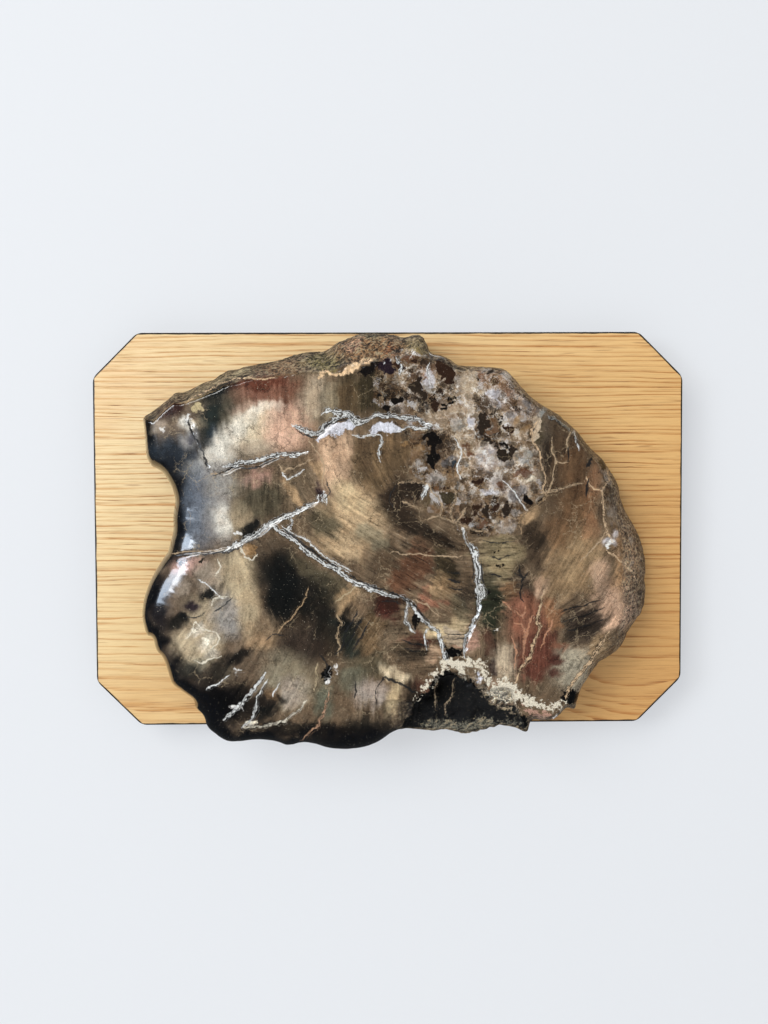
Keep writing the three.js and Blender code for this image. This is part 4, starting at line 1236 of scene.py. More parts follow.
# Veins: tone, half width in pixels before they taper, and the points along each
veins = [
    ("ledge", 1.0, [
        (187, 402.5), (206, 390.5), (214, 388), (221.5, 384.5), (234, 380), (250, 377.5), (275, 378),
    ]),
    ("veinWhite", 2.4, [
        (224, 466), (233, 466), (240, 463.5), (250.5, 462.5), (261, 459.5), (276, 455.7), (285, 455.2),
        (304, 454),
    ]),
    ("veinTan", 1.0, [(212, 473), (218, 474), (224, 472)]),
    ("veinWhite", 2.3, [
        (292, 425), (300.5, 428.5), (307.5, 432), (312.5, 434.5), (317.7, 433.5), (326.3, 426.8),
        (336.6, 418), (347, 417), (354, 421.5), (361, 423), (372, 419.5),
    ]),
    ("veinWhite", 2.2, [
        (323.5, 414), (330, 409.5), (336.6, 411.3), (347, 413.9), (357.3, 419), (362, 424),
    ]),
    ("veinWhite", 2.0, [
        (368, 421), (376, 416.5), (384, 417.5), (392, 415.5), (400, 417), (412, 420), (432, 425),
    ]),
    ("veinWhite", 1.1, [(352, 434), (362.5, 438.5), (371, 436.5), (381, 436)]),
    ("veinWhite", 1.2, [(381, 436), (381.4, 444), (379.7, 452.5), (381.5, 461)]),
    ("veinWhite", 1.4, [(398, 431), (408, 427), (418, 429), (436, 426)]),
    ("veinTan", 0.9, [
        (309, 437), (312.5, 444), (316, 451), (321, 458), (325, 466), (323, 476), (321, 486),
    ]),
    ("veinTan", 1.1, [(279.8, 464.6), (283.3, 471.5), (292, 469), (304, 463), (313, 459.5)]),
    ("veinWhite", 1.0, [(283, 471), (287, 480), (296, 476), (304, 470)]),
    ("veinWhite", 1.1, [(317, 501), (318, 494)]), ("veinWhite", 1.1, [(322, 502), (323.5, 490)]),
    ("veinWhite", 1.1, [(327, 504), (326, 492)]), ("veinWhite", 1.3, [(289, 531), (292, 522), (290, 514)]),
    ("veinTan", 0.9, [(171, 553.5), (182, 552.5), (199, 551.8), (211, 550), (223, 551.6)]),
    ("veinWhite", 2.4, [
        (219, 552), (226, 551), (233.3, 547.3), (243.7, 540.4), (254, 535.2), (264.3, 528.4), (274.7, 523),
        (281.5, 518), (295, 513), (307, 507), (316, 502),
    ]),
    ("veinWhite", 2.4, [
        (272, 524), (279.8, 531.8), (288.4, 537), (298.8, 545.6), (311, 555), (323, 563), (336.6, 569),
        (347, 577), (357.3, 583.7), (371, 589), (385, 594), (401, 597),
    ]),
    ("veinWhite", 1.0, [(283, 527), (295, 534.5), (311, 545), (325, 557), (338, 563.5), (350, 572)]),
    ("veinWhite", 1.9, [
        (399, 596), (410.4, 603), (415.7, 609.3), (421, 617.3), (430, 625.4), (437, 630.7), (440.7, 641.4),
        (442.5, 652), (449, 664),
    ]),
    ("veinWhite", 1.4, [(406.8, 604), (405.9, 620), (414, 633)]),
    ("veinWhite", 1.4, [(427, 629), (423.8, 638), (427.5, 650)]),
    ("veinTan", 0.9, [(413, 600.5), (424.6, 604), (438, 614)]),
    ("veinTan", 0.8, [(391, 552), (404, 554), (424, 553), (444, 556), (462, 558)]),
    ("veinTan", 1.3, [(399, 484), (408.6, 481.6), (424.6, 483.4), (431, 486)]),
    ("veinWhite", 1.9, [(421.5, 497.5), (427.8, 485.5)]),
    ("veinTan", 1.4, [(402, 500), (407, 503), (413, 506)]),
    ("veinTan", 1.2, [
        (430, 485), (431.8, 491.4), (439, 497), (442.5, 504), (439, 514.6), (442.5, 518.2), (451.4, 521.8),
        (457, 525.4), (469.3, 529), (485, 533),
    ]),
    ("veinTan", 1.2, [(451.4, 521.8), (452.3, 509.3), (457, 500.4), (457, 491), (452, 486)]),
    ("veinTan", 1.0, [(427, 519), (439, 514.6)]),
    ("veinTan", 1.0, [(453, 523.6), (460.4, 516.4), (466, 508)]),
    ("veinWhite", 1.2, [(461, 528), (464, 536), (465.7, 543.2), (471, 548.6)]),
    ("veinWhite", 4.2, [(470, 545), (474.6, 555.7), (476.5, 566.4), (478.2, 579)]),
    ("veinWhite", 2.8, [(477.5, 570), (478.2, 584), (479, 596), (479.8, 604)]),
    ("veinWhite", 1.3, [(481, 584), (484.5, 590), (484.5, 596), (480.5, 600)]),
    ("veinWhite", 1.9, [
        (480, 597), (477.3, 616.4), (471, 627), (467.5, 634.3), (464.8, 645), (463.9, 657),
    ]),
    ("veinTan", 0.9, [(551.4, 438), (552.3, 452), (556, 463), (553.2, 477), (548, 489.6), (544, 493.5)]),
    ("veinTan", 0.9, [(555, 463.5), (568, 462.5)]),
    ("veinTan", 1.3, [(541, 492.8), (558.6, 489.6), (573, 484.3), (583, 483)]),
    ("veinTan", 1.0, [(570, 430), (568, 440), (566, 452)]),
    ("veinWhite", 1.2, [(574, 429), (576.4, 438), (578, 449)]),
    ("blueGrey", 1.8, [(549, 415), (556, 420), (570, 431.5)]),
    ("ledge", 1.2, [
        (608.6, 468), (609, 481), (602, 491.4), (603.5, 507.5), (606, 525.4), (608.6, 536), (612.5, 543),
    ]),
    ("ledge", 1.0, [(586, 478), (590.7, 486), (600, 490)]),
    ("ledge", 1.1, [(607, 549), (616, 557), (628, 567), (636, 579)]),
    ("veinTan", 0.9, [(606, 530), (596, 546), (588, 555), (579, 562)]),
    ("tan", 1.4, [(548, 490.5), (542.5, 499), (535, 506), (523, 515), (519, 522), (521, 532)]),
    ("ledge", 1.2, [(538, 420), (532.5, 431), (533, 443), (540, 452), (543, 466), (545, 478), (543, 490)]),
    ("veinOrange", 1.2, [(503, 602), (512, 609.3), (523, 618.2), (526.5, 606)]),
    ("veinOrange", 1.1, [(515, 623.6), (523, 624.5), (525.5, 634.3), (523, 645), (522, 656), (524, 664)]),
    ("ledge", 1.5, [
        (544, 592), (540.7, 604), (537, 621.8), (540.7, 627), (537, 636), (531.8, 646.8), (530, 657.5),
        (524.6, 663), (520.2, 670), (516, 683),
    ]),
    ("veinOrange", 1.0, [(534, 617), (528.2, 627), (525.5, 641.4)]),
    ("veinOrange", 0.9, [(552, 620), (547, 633), (541, 650)]),
    ("veinOrange", 0.9, [(512, 636), (516, 652), (514, 668)]),
    ("ledge", 1.8, [(609, 632), (601.4, 643.2), (590.7, 661), (576.4, 677), (569.3, 686), (565.5, 698)]),
    ("tan", 0.9, [(277, 635), (285, 623.3), (292, 616.4), (300.5, 606), (306.5, 598)]),
    ("tan", 0.9, [(306, 596), (309, 588)]),
    ("khaki", 1.2, [(338, 615), (342, 623), (336.6, 637), (340, 644), (338, 656)]),
    ("orangeTan", 1.3, [(329, 692), (324.6, 711), (316, 726.6), (303, 741)]),
    ("crust", 1.3, [(305, 701), (299, 711), (288.4, 718), (276.4, 723.2), (261, 726.6), (244, 729)]),
    ("beige", 1.2, [(316.5, 664), (316.3, 678), (313.5, 691)]),
    ("veinWhite", 1.8, [
        (266, 673), (257.4, 683.6), (250.5, 694), (242, 702.5), (233.3, 709.4), (225, 720),
    ]),
    ("veinWhite", 1.1, [(267.5, 681), (261, 692), (257, 698)]),
    ("veinWhite", 0.9, [(278.5, 684), (272.5, 695)]),
    ("veinWhite", 1.2, [(258, 701), (254, 714.6), (248.8, 723.2), (242, 728)]),
    ("veinWhite", 0.8, [(229, 676), (218, 682), (207, 688)]),
    ("crust", 0.8, [(195, 662), (201, 664), (210, 660), (221, 656)]),
    ("crust", 0.8, [
        (186, 640), (190, 633), (196, 622), (203, 630), (216, 632), (219.5, 639), (212, 648), (205, 652),
    ]),
    ("crust", 1.1, [(212, 605), (215, 600), (221, 597), (228, 596)]),
    ("veinWhite", 0.9, [(199, 580), (206, 584), (214, 590), (222, 598)]),
    ("crust", 1.0, [(218, 560), (221, 568), (217, 575)]),
    ("crust", 1.0, [(238, 545), (242, 552), (252, 561), (258, 556)]),
    ("beige", 1.0, [(336, 601), (347, 594), (358, 585)]),
    ("veinTan", 0.8, [(437, 680), (435.4, 693), (436.5, 711)]),
    ("veinTan", 0.8, [(454, 680), (452, 693), (445, 706), (446, 714)]),
    ("veinWhite", 1.2, [(430, 362), (428, 372), (431, 384)]),
    ("veinWhite", 1.4, [(396, 358), (401, 366), (399, 374)]),
    ("veinWhite", 0.9, [(505, 482), (513, 492), (521, 503), (527, 512)]),
    ("veinWhite", 1.0, [(455, 440), (461, 452), (457, 466), (460, 478)]),
]

# Dark cracks and lines: half width in pixels before they taper, and the points along each. The lines along
# the open cracks are painted shadow in and below them; the rest are the stone's own dark lines.
slits = [
    (1.2, [
        (214, 474.5), (226, 471.8), (233, 467.6), (250.5, 468), (261, 465.3), (273, 459.5), (284, 457.7),
    ]),
    (1.0, [(295, 429.5), (303, 434), (311, 437.3), (319, 436), (328, 425.5), (338.4, 420.3), (350, 421)]),
    (1.6, [(188, 421), (193.5, 432), (198.5, 444), (203.5, 456), (206, 465), (208, 471)]),
    (1.0, [(170, 555), (182, 554.5), (199, 553.8), (214, 553.4), (228, 553), (238, 548)]),
    (0.9, [(238, 548.5), (250, 541), (262, 534), (275, 527)]),
    (1.7, [(284, 530), (296, 538), (311, 549), (325, 560), (338, 567)]),
    (1.0, [
        (345, 572), (357, 580), (371, 586), (386, 590.5), (402, 597.5), (413, 605), (420, 613), (430, 622),
    ]),
    (0.9, [(383, 600), (396, 602), (404, 606)]), (1.8, [(383.6, 677), (398, 683), (414, 691.5)]),
    (2.0, [(592.5, 457.5), (587, 466.5)]), (1.8, [(588, 480), (585.3, 495)]),
    (0.9, [(569, 446), (568, 462)]), (1.0, [(471, 556), (473, 568), (474, 580)]),
    (1.0, [(482, 560), (482.5, 575), (484, 584)]), (1.2, [(448, 571), (460, 574)]),
    (1.1, [(447, 579), (460, 582)]), (1.0, [(449, 587), (462, 590)]),
    (1.2, [(519, 566), (522, 578), (519, 592), (524, 602)]), (1.0, [(515, 574), (522, 578), (529, 573)]),
    (1.0, [(346, 648), (352, 636), (362, 618)]), (1.1, [(352, 652), (360, 638), (369, 622)]),
    (1.1, [(343, 632), (352, 622), (357, 612)]), (1.0, [(336, 655), (342, 645), (346, 634)]),
    (1.0, [(325, 500), (329, 492), (325, 480)]), (0.8, [(446, 633), (464, 633.5)]),
    (0.8, [(446, 638), (466, 638.5)]), (0.9, [(402, 641), (418, 643), (430, 648)]),
    (0.9, [(403, 649), (420, 651)]), (0.8, [(560, 612), (580, 606), (600, 600)]),
    (0.8, [(562, 622), (584, 616), (604, 608)]), (0.8, [(566, 632), (588, 626), (606, 618)]),
    (1.0, [(385, 676), (376, 690), (377, 706)]), (1.2, [(356, 683), (355, 696)]),
    (1.0, [(204, 612), (196, 618), (187, 618)]), (1.0, [(214, 612), (222, 606), (231, 598)]),
    (0.8, [(266, 640), (275, 634), (284, 634)]), (1.0, [(321, 655), (328, 665), (326, 678)]),
    (0.9, [(395, 485), (390, 495), (392, 508)]), (0.8, [(484, 540), (500, 543), (514, 541)]),
    (0.9, [(488, 556), (498, 559), (510, 556)]), (0.8, [(490, 574), (502, 577)]),
]

# Which way the fibres run: centre, reach, angle (degrees, anticlockwise) and how clearly they show
fibreZones = [
    (306, 398, 50, 88, 0.6), (268, 384, 24, 90, 0.7), (370, 400, 45, 86, 0.9), (218, 424, 34, 112, 0.6),
    (252, 434, 46, 96, 0.08), (200, 500, 40, 88, 0.15), (352, 520, 44, 146, 0.85), (334, 465, 30, 112, 0.5),
    (430, 575, 40, 150, 1.1), (285, 590, 46, 128, 0.4), (230, 620, 40, 70, 0.5), (240, 690, 48, 54, 0.8),
    (300, 670, 46, 62, 0.5), (377, 700, 34, 88, 0.5), (350, 630, 30, 62, 1.0), (410, 640, 26, 5, 1.1),
    (490, 565, 30, 4, 1.1), (452, 636, 18, 0, 1.0), (507, 662, 24, 88, 0.9), (530, 640, 30, 100, 0.7),
    (583, 627, 26, 22, 1.1), (565, 460, 46, 80, 0.5), (577, 560, 40, 62, 0.65), (455, 430, 60, 45, 0.2),
    (390, 455, 34, 122, 0.9), (600, 500, 30, 78, 0.6), (565, 680, 26, 60, 0.4), (620, 590, 30, 70, 0.6),
    (180, 640, 40, 50, 0.25), (440, 560, 26, 160, 1.1), (262, 500, 26, 80, 1.0),
]
fibreTurns = (0, 30, 60, 90, 120, 150)  # directions that the material has streaks for

# The broken rock, the pale areas in it, and the crumbly strip down the right side, in pixels
brecciaOutline = [
    (380, 360), (404, 352), (432, 352), (452, 362), (506, 368), (530, 394), (545, 408), (536, 424),
    (533, 443), (541, 455), (544, 480), (540, 500), (522, 516), (516, 532), (486, 534), (458, 527),
    (430, 512), (428, 486), (408, 474), (410, 440), (396, 418), (372, 404), (372, 380),
]
paleZones = [  # centre, half width, half height
    (476, 402, 52, 36), (496, 466, 46, 46), (412, 376, 14, 22), (468, 440, 24, 30), (498, 516, 26, 14),
]
crumblyOutline = [
    (600, 456), (612, 472), (622, 500), (636, 530), (648, 560), (650, 600), (640, 622), (628, 612),
    (624, 580), (618, 556), (610, 530), (606, 500), (598, 474),
]


# The noises that bend what is painted, so that nothing has a drawn edge: size and amount in pixels, and seed
bends = {
    "washes": ((22, 9, 60), (7, 4.2, 70), (3.4, 1.8, 75)),
    "shapes": ((8, 6.5, 90), (3, 2.8, 95)),
    "veins": ((10, 2.4, 100), (3.4, 1.3, 103)),
    "slits": ((10, 2.4, 110), (3.4, 1.3, 113)),
    "fibres": ((40, 10, 120),),
    "zones": ((12, 7, 130),),
    "crusts": ((5, 2.4, 160),),
}

paintLook = {
    "fineStreaks": (2.6, 12, 140),  # size and reach in pixels, and seed
    "wideStreaks": (6.5, 18, 150),
    "streakContrast": 0.13,
    "coolTint": (-0.02, 0.02, 0.12),  # what the cooler left has more of, red, green and blue
    "coolReach": (190, 310),
    # marginShade: how bright the painted night-blue reflection and shade on the rolled margins is
    "marginShade": 0.6,  # how bright the night blue of the rolled margins is
    "veinTaper": (0.3, 0.67),  # share of a vein's width at its ends and in the middle
}


def stonePaint(name):
    return np.array(linear(stoneTones[name])[:3])


def covered(under, over, cover):
    return under * (1 - cover) + over * cover


def bent(pixels, kind):
    for size, amount, seed in bends[kind]:
        drift = np.stack([cloudNoise(pixels, size, seed), cloudNoise(pixels, size, seed + 50)], 1)
        pixels = pixels + drift * amount
    return pixels


def ovalField(pixels, x, y, halfLong, halfAcross, angle, squareness=2.4):
    turn = math.radians(angle)
    dx, dy = pixels[:, 0] - x, pixels[:, 1] - y
    along = dx * math.cos(turn) - dy * math.sin(turn)
    across = dx * math.sin(turn) + dy * math.cos(turn)
    total = np.abs(along / halfLong) ** squareness + np.abs(across / halfAcross) ** squareness
    return total ** (1 / squareness)


# Distance from the edge of a patch, negative inside
def patchField(pixels, corners):
    gap = np.abs(lineField(pixels, corners + corners[:1])[0])
    return np.where(insideLoop(pixels, corners), -gap, gap)


def nearPoints(pixels, points, reach):
    points = np.array(points, float).reshape(-1, 2)
    low, high = points.min(0) - reach, points.max(0) + reach
    return np.nonzero(((pixels > low) & (pixels < high)).all(1))[0]


def fibreAngle(pixels):
    places = bent(pixels, "fibres")
    total = np.zeros((len(pixels), 4))
    for x, y, reach, angle, clear in fibreZones:
        weight = np.exp(-((places - (x, y)) ** 2).sum(1) / reach**2)
        twice = math.radians(angle * 2)
        total += weight[:, None] * (math.cos(twice), math.sin(twice), clear, 1)
    return np.arctan2(total[:, 1], total[:, 0]) / 2, total[:, 2] / (total[:, 3] + 1e-4)


# Noise drawn out along the fibres
def streakNoise(pixels, along, size, reach, seed):
    places = np.linspace(-reach, reach, 9)
    total = sum(valueNoise(pixels + along * place, size, seed) for place in places)
    return total / total.std()


def paintWashes(pixels, angle, calm, clear):
    colour = np.tile(stonePaint("body"), (len(pixels), 1))
    clear = clear.clip(0, 1)
    softness = 1 - clear
    along = np.stack([np.cos(angle), -np.sin(angle)], 1)
    streak = streakNoise(pixels, along, *paintLook["fineStreaks"])
    wide = streakNoise(pixels, along, *paintLook["wideStreaks"])
    places = pixels + (bent(pixels, "washes") - pixels) * (0.4 + 0.6 * clear)[:, None]
    places = places + along * ((streak * 2 + wide * 1.8) * calm)[:, None]
    for tone, x, y, halfLong, halfAcross, turn, strength in washes:
        near = nearPoints(places, (x, y), max(halfLong, halfAcross) * 2)
        field = ovalField(places[near], x, y, halfLong, halfAcross, turn, 2.1)
        soft = softness[near]
        cover = (1 - smooth(field, 0.62 - 0.3 * soft, 1.26 + 0.35 * soft))[:, None] * strength
        colour[near] = covered(colour[near], stonePaint(tone), cover)
    colour = colour * (1 + paintLook["streakContrast"] * (streak + wide) * calm).clip(0.3, 2)[:, None]
    cool = 1 - smooth(pixels[:, 0], *paintLook["coolReach"])
    return colour * (1 + cool[:, None] * paintLook["coolTint"])


# The clear-edged shapes: a tone and a distance from the edge in pixels, negative inside
def paintShapes(pixels, colour):
    places = bent(pixels, "shapes")
    edgeTone = colour.copy()
    edge = np.full(len(pixels), 3.0)

    def lay(tone, near, away):
        paint = stonePaint(tone)
        cover = smooth(-away, 0.2, 1.6)[:, None]
        colour[near] = covered(colour[near], paint, cover)
        close = away < 2.6
        edgeTone[near[close]] = paint
        edge[near[close]] = away[close]

    for tone, corners in patches:
        near = nearPoints(places, corners, 8)
        lay(tone, near, patchField(places[near], corners))
    for tone, x, y, halfLong, halfAcross, angle in blobs:
        near = nearPoints(places, (x, y), max(halfLong, halfAcross) + 8)
        field = ovalField(places[near], x, y, halfLong, halfAcross, angle)
        lay(tone, near, (field - 1) * min(halfLong, halfAcross))
    return colour, edgeTone, edge


# Distance in pixels from the edge of the nearest crust, negative inside, and its tone
def paintCrusts(pixels):
    places = bent(pixels, "crusts")
    away = np.full(len(pixels), 6.0)
    tones = np.zeros((len(pixels), 3))
    for tone, corners in crusts:
        near = nearPoints(places, corners, 9)
        gap = patchField(places[near], corners)
        closer = gap < away[near]
        away[near[closer]] = gap[closer]
        tones[near[closer]] = stonePaint(tone)
    return away, tones


# Thin lines: distance across the nearest line and its half width, both in pixels, and its tone
def paintLines(pixels, kind, lines):
    places = bent(pixels, kind)
    across = np.full(len(pixels), 5.0)
    halfWidth = np.full(len(pixels), -1.0)
    tones = np.zeros((len(pixels), 3))
    best = np.full(len(pixels), 1e9)
    ends, middle = paintLook["veinTaper"]
    for tone, half, points in lines:
        near = nearPoints(places, points, 8)
        gap, along = lineField(places[near], points)
        taper = smooth(np.minimum(along, 1 - along), 0, 0.12)
        own = half * (ends + (middle - ends) * taper)
        rank = np.abs(gap) - own
        closer = (rank < best[near]) & (rank < 1.8)
        chosen = near[closer]
        best[chosen] = rank[closer]
        across[chosen] = gap[closer]
        halfWidth[chosen] = own[closer]
        tones[chosen] = stonePaint(tone)
    return across, halfWidth, tones


# How much each of the streak directions shows
def fibreWeights(angle):
    weights = []
    for turn in fibreTurns:
        gap = np.abs((np.degrees(angle) - turn + 90) % 180 - 90)
        weights.append(1 - smooth(gap, 8, 22))
    return np.stack(weights, 1)


def paintSlab(mesh, points, own, distanceIn, part):
    pixels = stonePixels(points)
    raw = np.where(distanceIn < 0, 1, own["raw"] * (1 - smooth(part, 0.82, 1.0)))
    steep = own["raw"] * (1 - smooth(distanceIn, 0.4, 2.4))
    places = bent(pixels, "zones")
    breccia = insideLoop(places, brecciaOutline).astype(float)
    breccia += insideLoop(places, crumblyOutline) * 0.4
    paleNet = np.zeros(len(pixels))
    for x, y, halfLong, halfAcross in paleZones:
        field = ovalField(places, x, y, halfLong, halfAcross, 0, 2)
        paleNet = np.maximum(paleNet, 1 - smooth(field, 0.6, 1.25))
    angle, clear = fibreAngle(pixels)
    calm = np.clip(1 - breccia * 0.8 - raw * 0.5, 0, 1) * clear
    colour = paintWashes(pixels, angle, 0.15 + calm * 0.85, clear)
    # The rolled polished margins are painted dark night blue: a painted reflection of the dark room in the
    # polish, and painted shade where they turn away.
    rolled = (1 - own["raw"]) * (1 - smooth(part + cloudNoise(pixels, 14, 81) * 0.25, 0.16, 0.56))
    colour = covered(colour, stonePaint("reflectedNightBlue") * paintLook["marginShade"], rolled[:, None])
    colour, edgeTone, edge = paintShapes(pixels, colour)
    veinAcross, veinHalf, veinTone = paintLines(pixels, "veins", veins)
    slitAcross, slitHalf, _ = paintLines(pixels, "slits", [("pit", *slit) for slit in slits])
    crustAway, crustTone = paintCrusts(pixels)
    weights = fibreWeights(angle) * calm[:, None]
    layers = {
        "stoneWash": colour, "edgeTone": edgeTone, "edgeAway": edge,
        "veinTone": veinTone, "veinAcross": veinAcross, "veinHalf": veinHalf,
        "slitAcross": slitAcross, "slitHalf": slitHalf, "crustAway": crustAway, "crustTone": crustTone,
        "fibreLow": weights[:, :3], "fibreHigh": weights[:, 3:], "breccia": breccia, "paleNet": paleNet,
        "rawStone": raw, "sideStone": np.where(distanceIn < 0, 1, steep),
    }
    for name, values in layers.items():
        addAttribute(mesh, name, values)
    print("  painted:", len(pixels), "points")


stoneLook = {
    "fibreSize": (13, 4, 1.25),  # millimetres along a fibre, into the stone and across
    "fibreContrast": 2.3,
    "mottleContrast": 0.9,
    "grainContrast": 1.0,
    "fleckContrast": 1.1,
    "darkestShade": 0.15,
    "bendAmount": 3.4,
    "rubbleTones": (
        (0.39, (40, 31, 25)), (0.45, (96, 73, 54)), (0.5, (160, 132, 104)), (0.54, (214, 200, 178)),
        (0.61, (240, 238, 234)),
    ),
    "rubbleShade": (74, 57, 42),
    "rubbleShare": 0.5,
    "clasts": ((8.5, 0.85, 0), (4.2, 0.6, 9)),  # size in millimetres, strength, shift of the pattern
    "clastTones": (
        (0.0, (30, 24, 20)), (0.4, (62, 48, 36)), (0.6, (92, 72, 52)), (0.76, (140, 114, 88)),
        (0.88, (166, 158, 150)), (1.0, (214, 212, 212)),
    ),
    "netTones": ((168, 138, 104), (228, 224, 218)),
    "streakTones": ((30, 25, 21), (206, 190, 162)),  # dark, pale
    "speckTones": ((30, 24, 20), (214, 204, 184)),
    "warmTint": (236, 196, 160),
    "crackleTone": (40, 32, 27),
    "hairTone": (196, 176, 146),
    # the vein edge and vein core tones are painted shade in and beside the open cracks
    "veinEdgeShade": (34, 29, 26),
    "veinGrain": (146, 140, 135),
    "veinCoreShade": (44, 38, 34),
    # the slit tone is painted shadow along the open cracks, and the stone's own dark lines elsewhere
    "slitAndCrackShade": (22, 18, 16),
    "crustPits": (112, 94, 74),
    "crustHoles": 38,  # pixels that the crust's edge wanders
    "rockTones": (
        (0.3, (58, 50, 38)), (0.48, (104, 88, 62)), (0.6, (140, 118, 88)), (0.72, (178, 158, 128)),
    ),
    "flakeSize": (3.4, 1.6, 1.3),
    "flakeTones": ((34, 27, 20), (196, 178, 146)),
    "gamma": 1.17,
    "polish": 0.12,
    "bumpDistance": 0.0016,
}


# The painted shapes, and the broken pieces between them
def addBreccia(tree, bentSpot, grain, wash, light):
    wobble, fine = grain["wobble"], grain["fine"]
    breccia = tree.attribute("breccia")
    paleNet = tree.attribute("paleNet")
    edgeTone = tree.attribute("edgeTone", "Color")
    faint = breccia * tree.step(tree.brightness(edgeTone), 0.03, 0.2) * 0.5
    inShape = tree.step(tree.attribute("edgeAway") + wobble * 4.5, 0.7, -0.7) * (1 - faint)
    tone = tree.mix(inShape, wash, edgeTone)
    inside = breccia * (1 - inShape)
    rubble = tree.ramp(tree.noise(bentSpot, 0.28, 6.0, 0.7), *stoneLook["rubbleTones"])
    rubble = tree.mix(paleNet, tree.mix(0.5, rubble, stoneLook["rubbleShade"]), rubble)
    tone = tree.mix(inside * stoneLook["rubbleShare"], tone, rubble)
    for size, strength, shift in stoneLook["clasts"]:
        shifted = tree.make("VectorMath", {"operation": "ADD"}, {0: bentSpot, 1: (shift, shift, shift)})
        cell = tree.cells(shifted, 1 / size, "F1", "Color")
        net = tree.cells(shifted, 1 / size, "DISTANCE_TO_EDGE", "Distance")
        clast = tree.ramp(tree.channel(cell, "Red"), *stoneLook["clastTones"])
        many = tree.step(tree.channel(cell, "Green") + light * 0.65, 0.84, 0.78)
        shown = inside * many * tree.step(net + fine * 0.7 + wobble * 0.5, 0.06, 0.17)
        tone = tree.mix(shown * strength, tone, clast)
    # pale lines between the smaller pieces
    netTone = tree.mix(tree.step(grain["mottle"], -0.1, 0.1) * paleNet, *stoneLook["netTones"])
    netShown = inside * tree.step(net + fine * 0.6, 0.06, 0.0) * (paleNet * 0.4 + 0.3)
    return tree.mix(netShown, tone, netTone)


def fibreStreaks(tree, spot):
    total = 0
    for name, turns in (("fibreLow", fibreTurns[:3]), ("fibreHigh", fibreTurns[3:])):
        weights = tree.attribute(name, "Color")
        for channel, turn in zip(("Red", "Green", "Blue"), turns):
            along = tree.turned(spot, -turn, stoneLook["fibreSize"])
            streak = tree.noise(along, 1.0, 5.0, 0.72) - 0.5
            total = streak * tree.channel(weights, channel) + total
    return total


def addFibres(tree, spot, grain, tone):
    streak = fibreStreaks(tree, spot)
    shade = streak * stoneLook["fibreContrast"] + grain["mottle"] * stoneLook["mottleContrast"]
    shade = shade + grain["fine"] * stoneLook["grainContrast"] + grain["fleck"] * stoneLook["fleckContrast"]
    tone = tree.shade(tone, (shade + 1).most(stoneLook["darkestShade"]))
    dark, pale = stoneLook["streakTones"]
    tone = tree.mix(tree.step(streak, -0.08, -0.19) * 0.6, tone, dark)
    tone = tree.mix(tree.step(streak, 0.09, 0.2) * 0.35, tone, pale)
    warm = tree.step(tree.noise(spot, 0.16, 3.0, 0.6), 0.42, 0.62)
    tone = tree.mix(warm * 0.12, tone, tree.mix(1.0, tone, stoneLook["warmTint"], "MULTIPLY"))
    specks = tree.noise(spot, 1.7, 2.0, 0.5)
    dark, pale = stoneLook["speckTones"]
    tone = tree.mix(tree.step(specks, 0.7, 0.76) * 0.6, tone, pale)
    return tree.mix(tree.step(specks, 0.33, 0.28) * 0.65, tone, dark)


# Fine dark crackle in places, and pale hair lines in others
def addCrackle(tree, spot, bentSpot, ragged, light, tone):
    crackle = tree.cells(bentSpot, 0.2, "DISTANCE_TO_EDGE", "Distance")
    cracked = tree.step(tree.noise(spot, 0.09, 2.0), 0.5, 0.6) * tree.step(crackle, 0.05, 0.015)
    tone = tree.mix(cracked * 0.45, tone, stoneLook["crackleTone"])
    hair = tree.cells(bentSpot, 0.13, "DISTANCE_TO_EDGE", "Distance")
    hairShown = tree.step(tree.noise(spot, 0.06, 3.0), 0.5, 0.58)
    hairShown = hairShown * tree.step(hair + ragged * 0.02, 0.02, 0.004)
    return tree.mix(hairShown * 0.5 * tree.step(light, 0.012, 0.04), tone, stoneLook["hairTone"])


# Veins with a dark edge and, where they are wide, a dark core; edge and core are painted shade where the
# veins are open cracks
def addVeins(tree, grain, broken, tone):
    ragged, mottle = grain["ragged"], grain["mottle"]
    across = tree.attribute("veinAcross")
    half = tree.attribute("veinHalf")
    edge = abs(across + ragged * 2.2) - half * broken
    inVein = tree.step(edge + ragged * 1.6, 0.4, -0.4)
    coreEdge = abs(across + ragged * 3.4 + mottle * 2.5) - half * 0.3
    core = tree.step(coreEdge, 0.35, -0.1) * tree.step(mottle, 0.1, 0.0) * tree.step(half, 0.55, 0.9)
    outline = tree.step(edge + ragged * 2.4, 1.3, 0.6) * tree.step(half, 0.7, 1.1)
    tone = tree.mix(outline * 0.7, tone, stoneLook["veinEdgeShade"])
    grainShown = tree.step(grain["fine"], -0.02, 0.18) * 0.55
    veinTone = tree.mix(grainShown, tree.attribute("veinTone", "Color"), stoneLook["veinGrain"])
    veinTone = tree.mix(core * 0.9, veinTone, stoneLook["veinCoreShade"])
    return tree.mix(inVein * 0.92, tone, veinTone)


def slitCover(tree, ragged, broken):
    edge = abs(tree.attribute("slitAcross") + ragged * 1.2) - tree.attribute("slitHalf") * broken
    return tree.step(edge + ragged * 1.2, 0.35, -0.35)


def addCrust(tree, spot, fine, tone):
    lump = tree.noise(spot, 0.5, 5.0, 0.72) - 0.5
    inCrust = tree.step(tree.attribute("crustAway") + lump * stoneLook["crustHoles"] + 1.8, 0.6, -0.6)
    pits = tree.step(fine, -0.02, 0.12) * 0.6
    crustTone = tree.mix(pits, tree.attribute("crustTone", "Color"), stoneLook["crustPits"])
    return tree.mix(inCrust * 0.95, tone, crustTone)


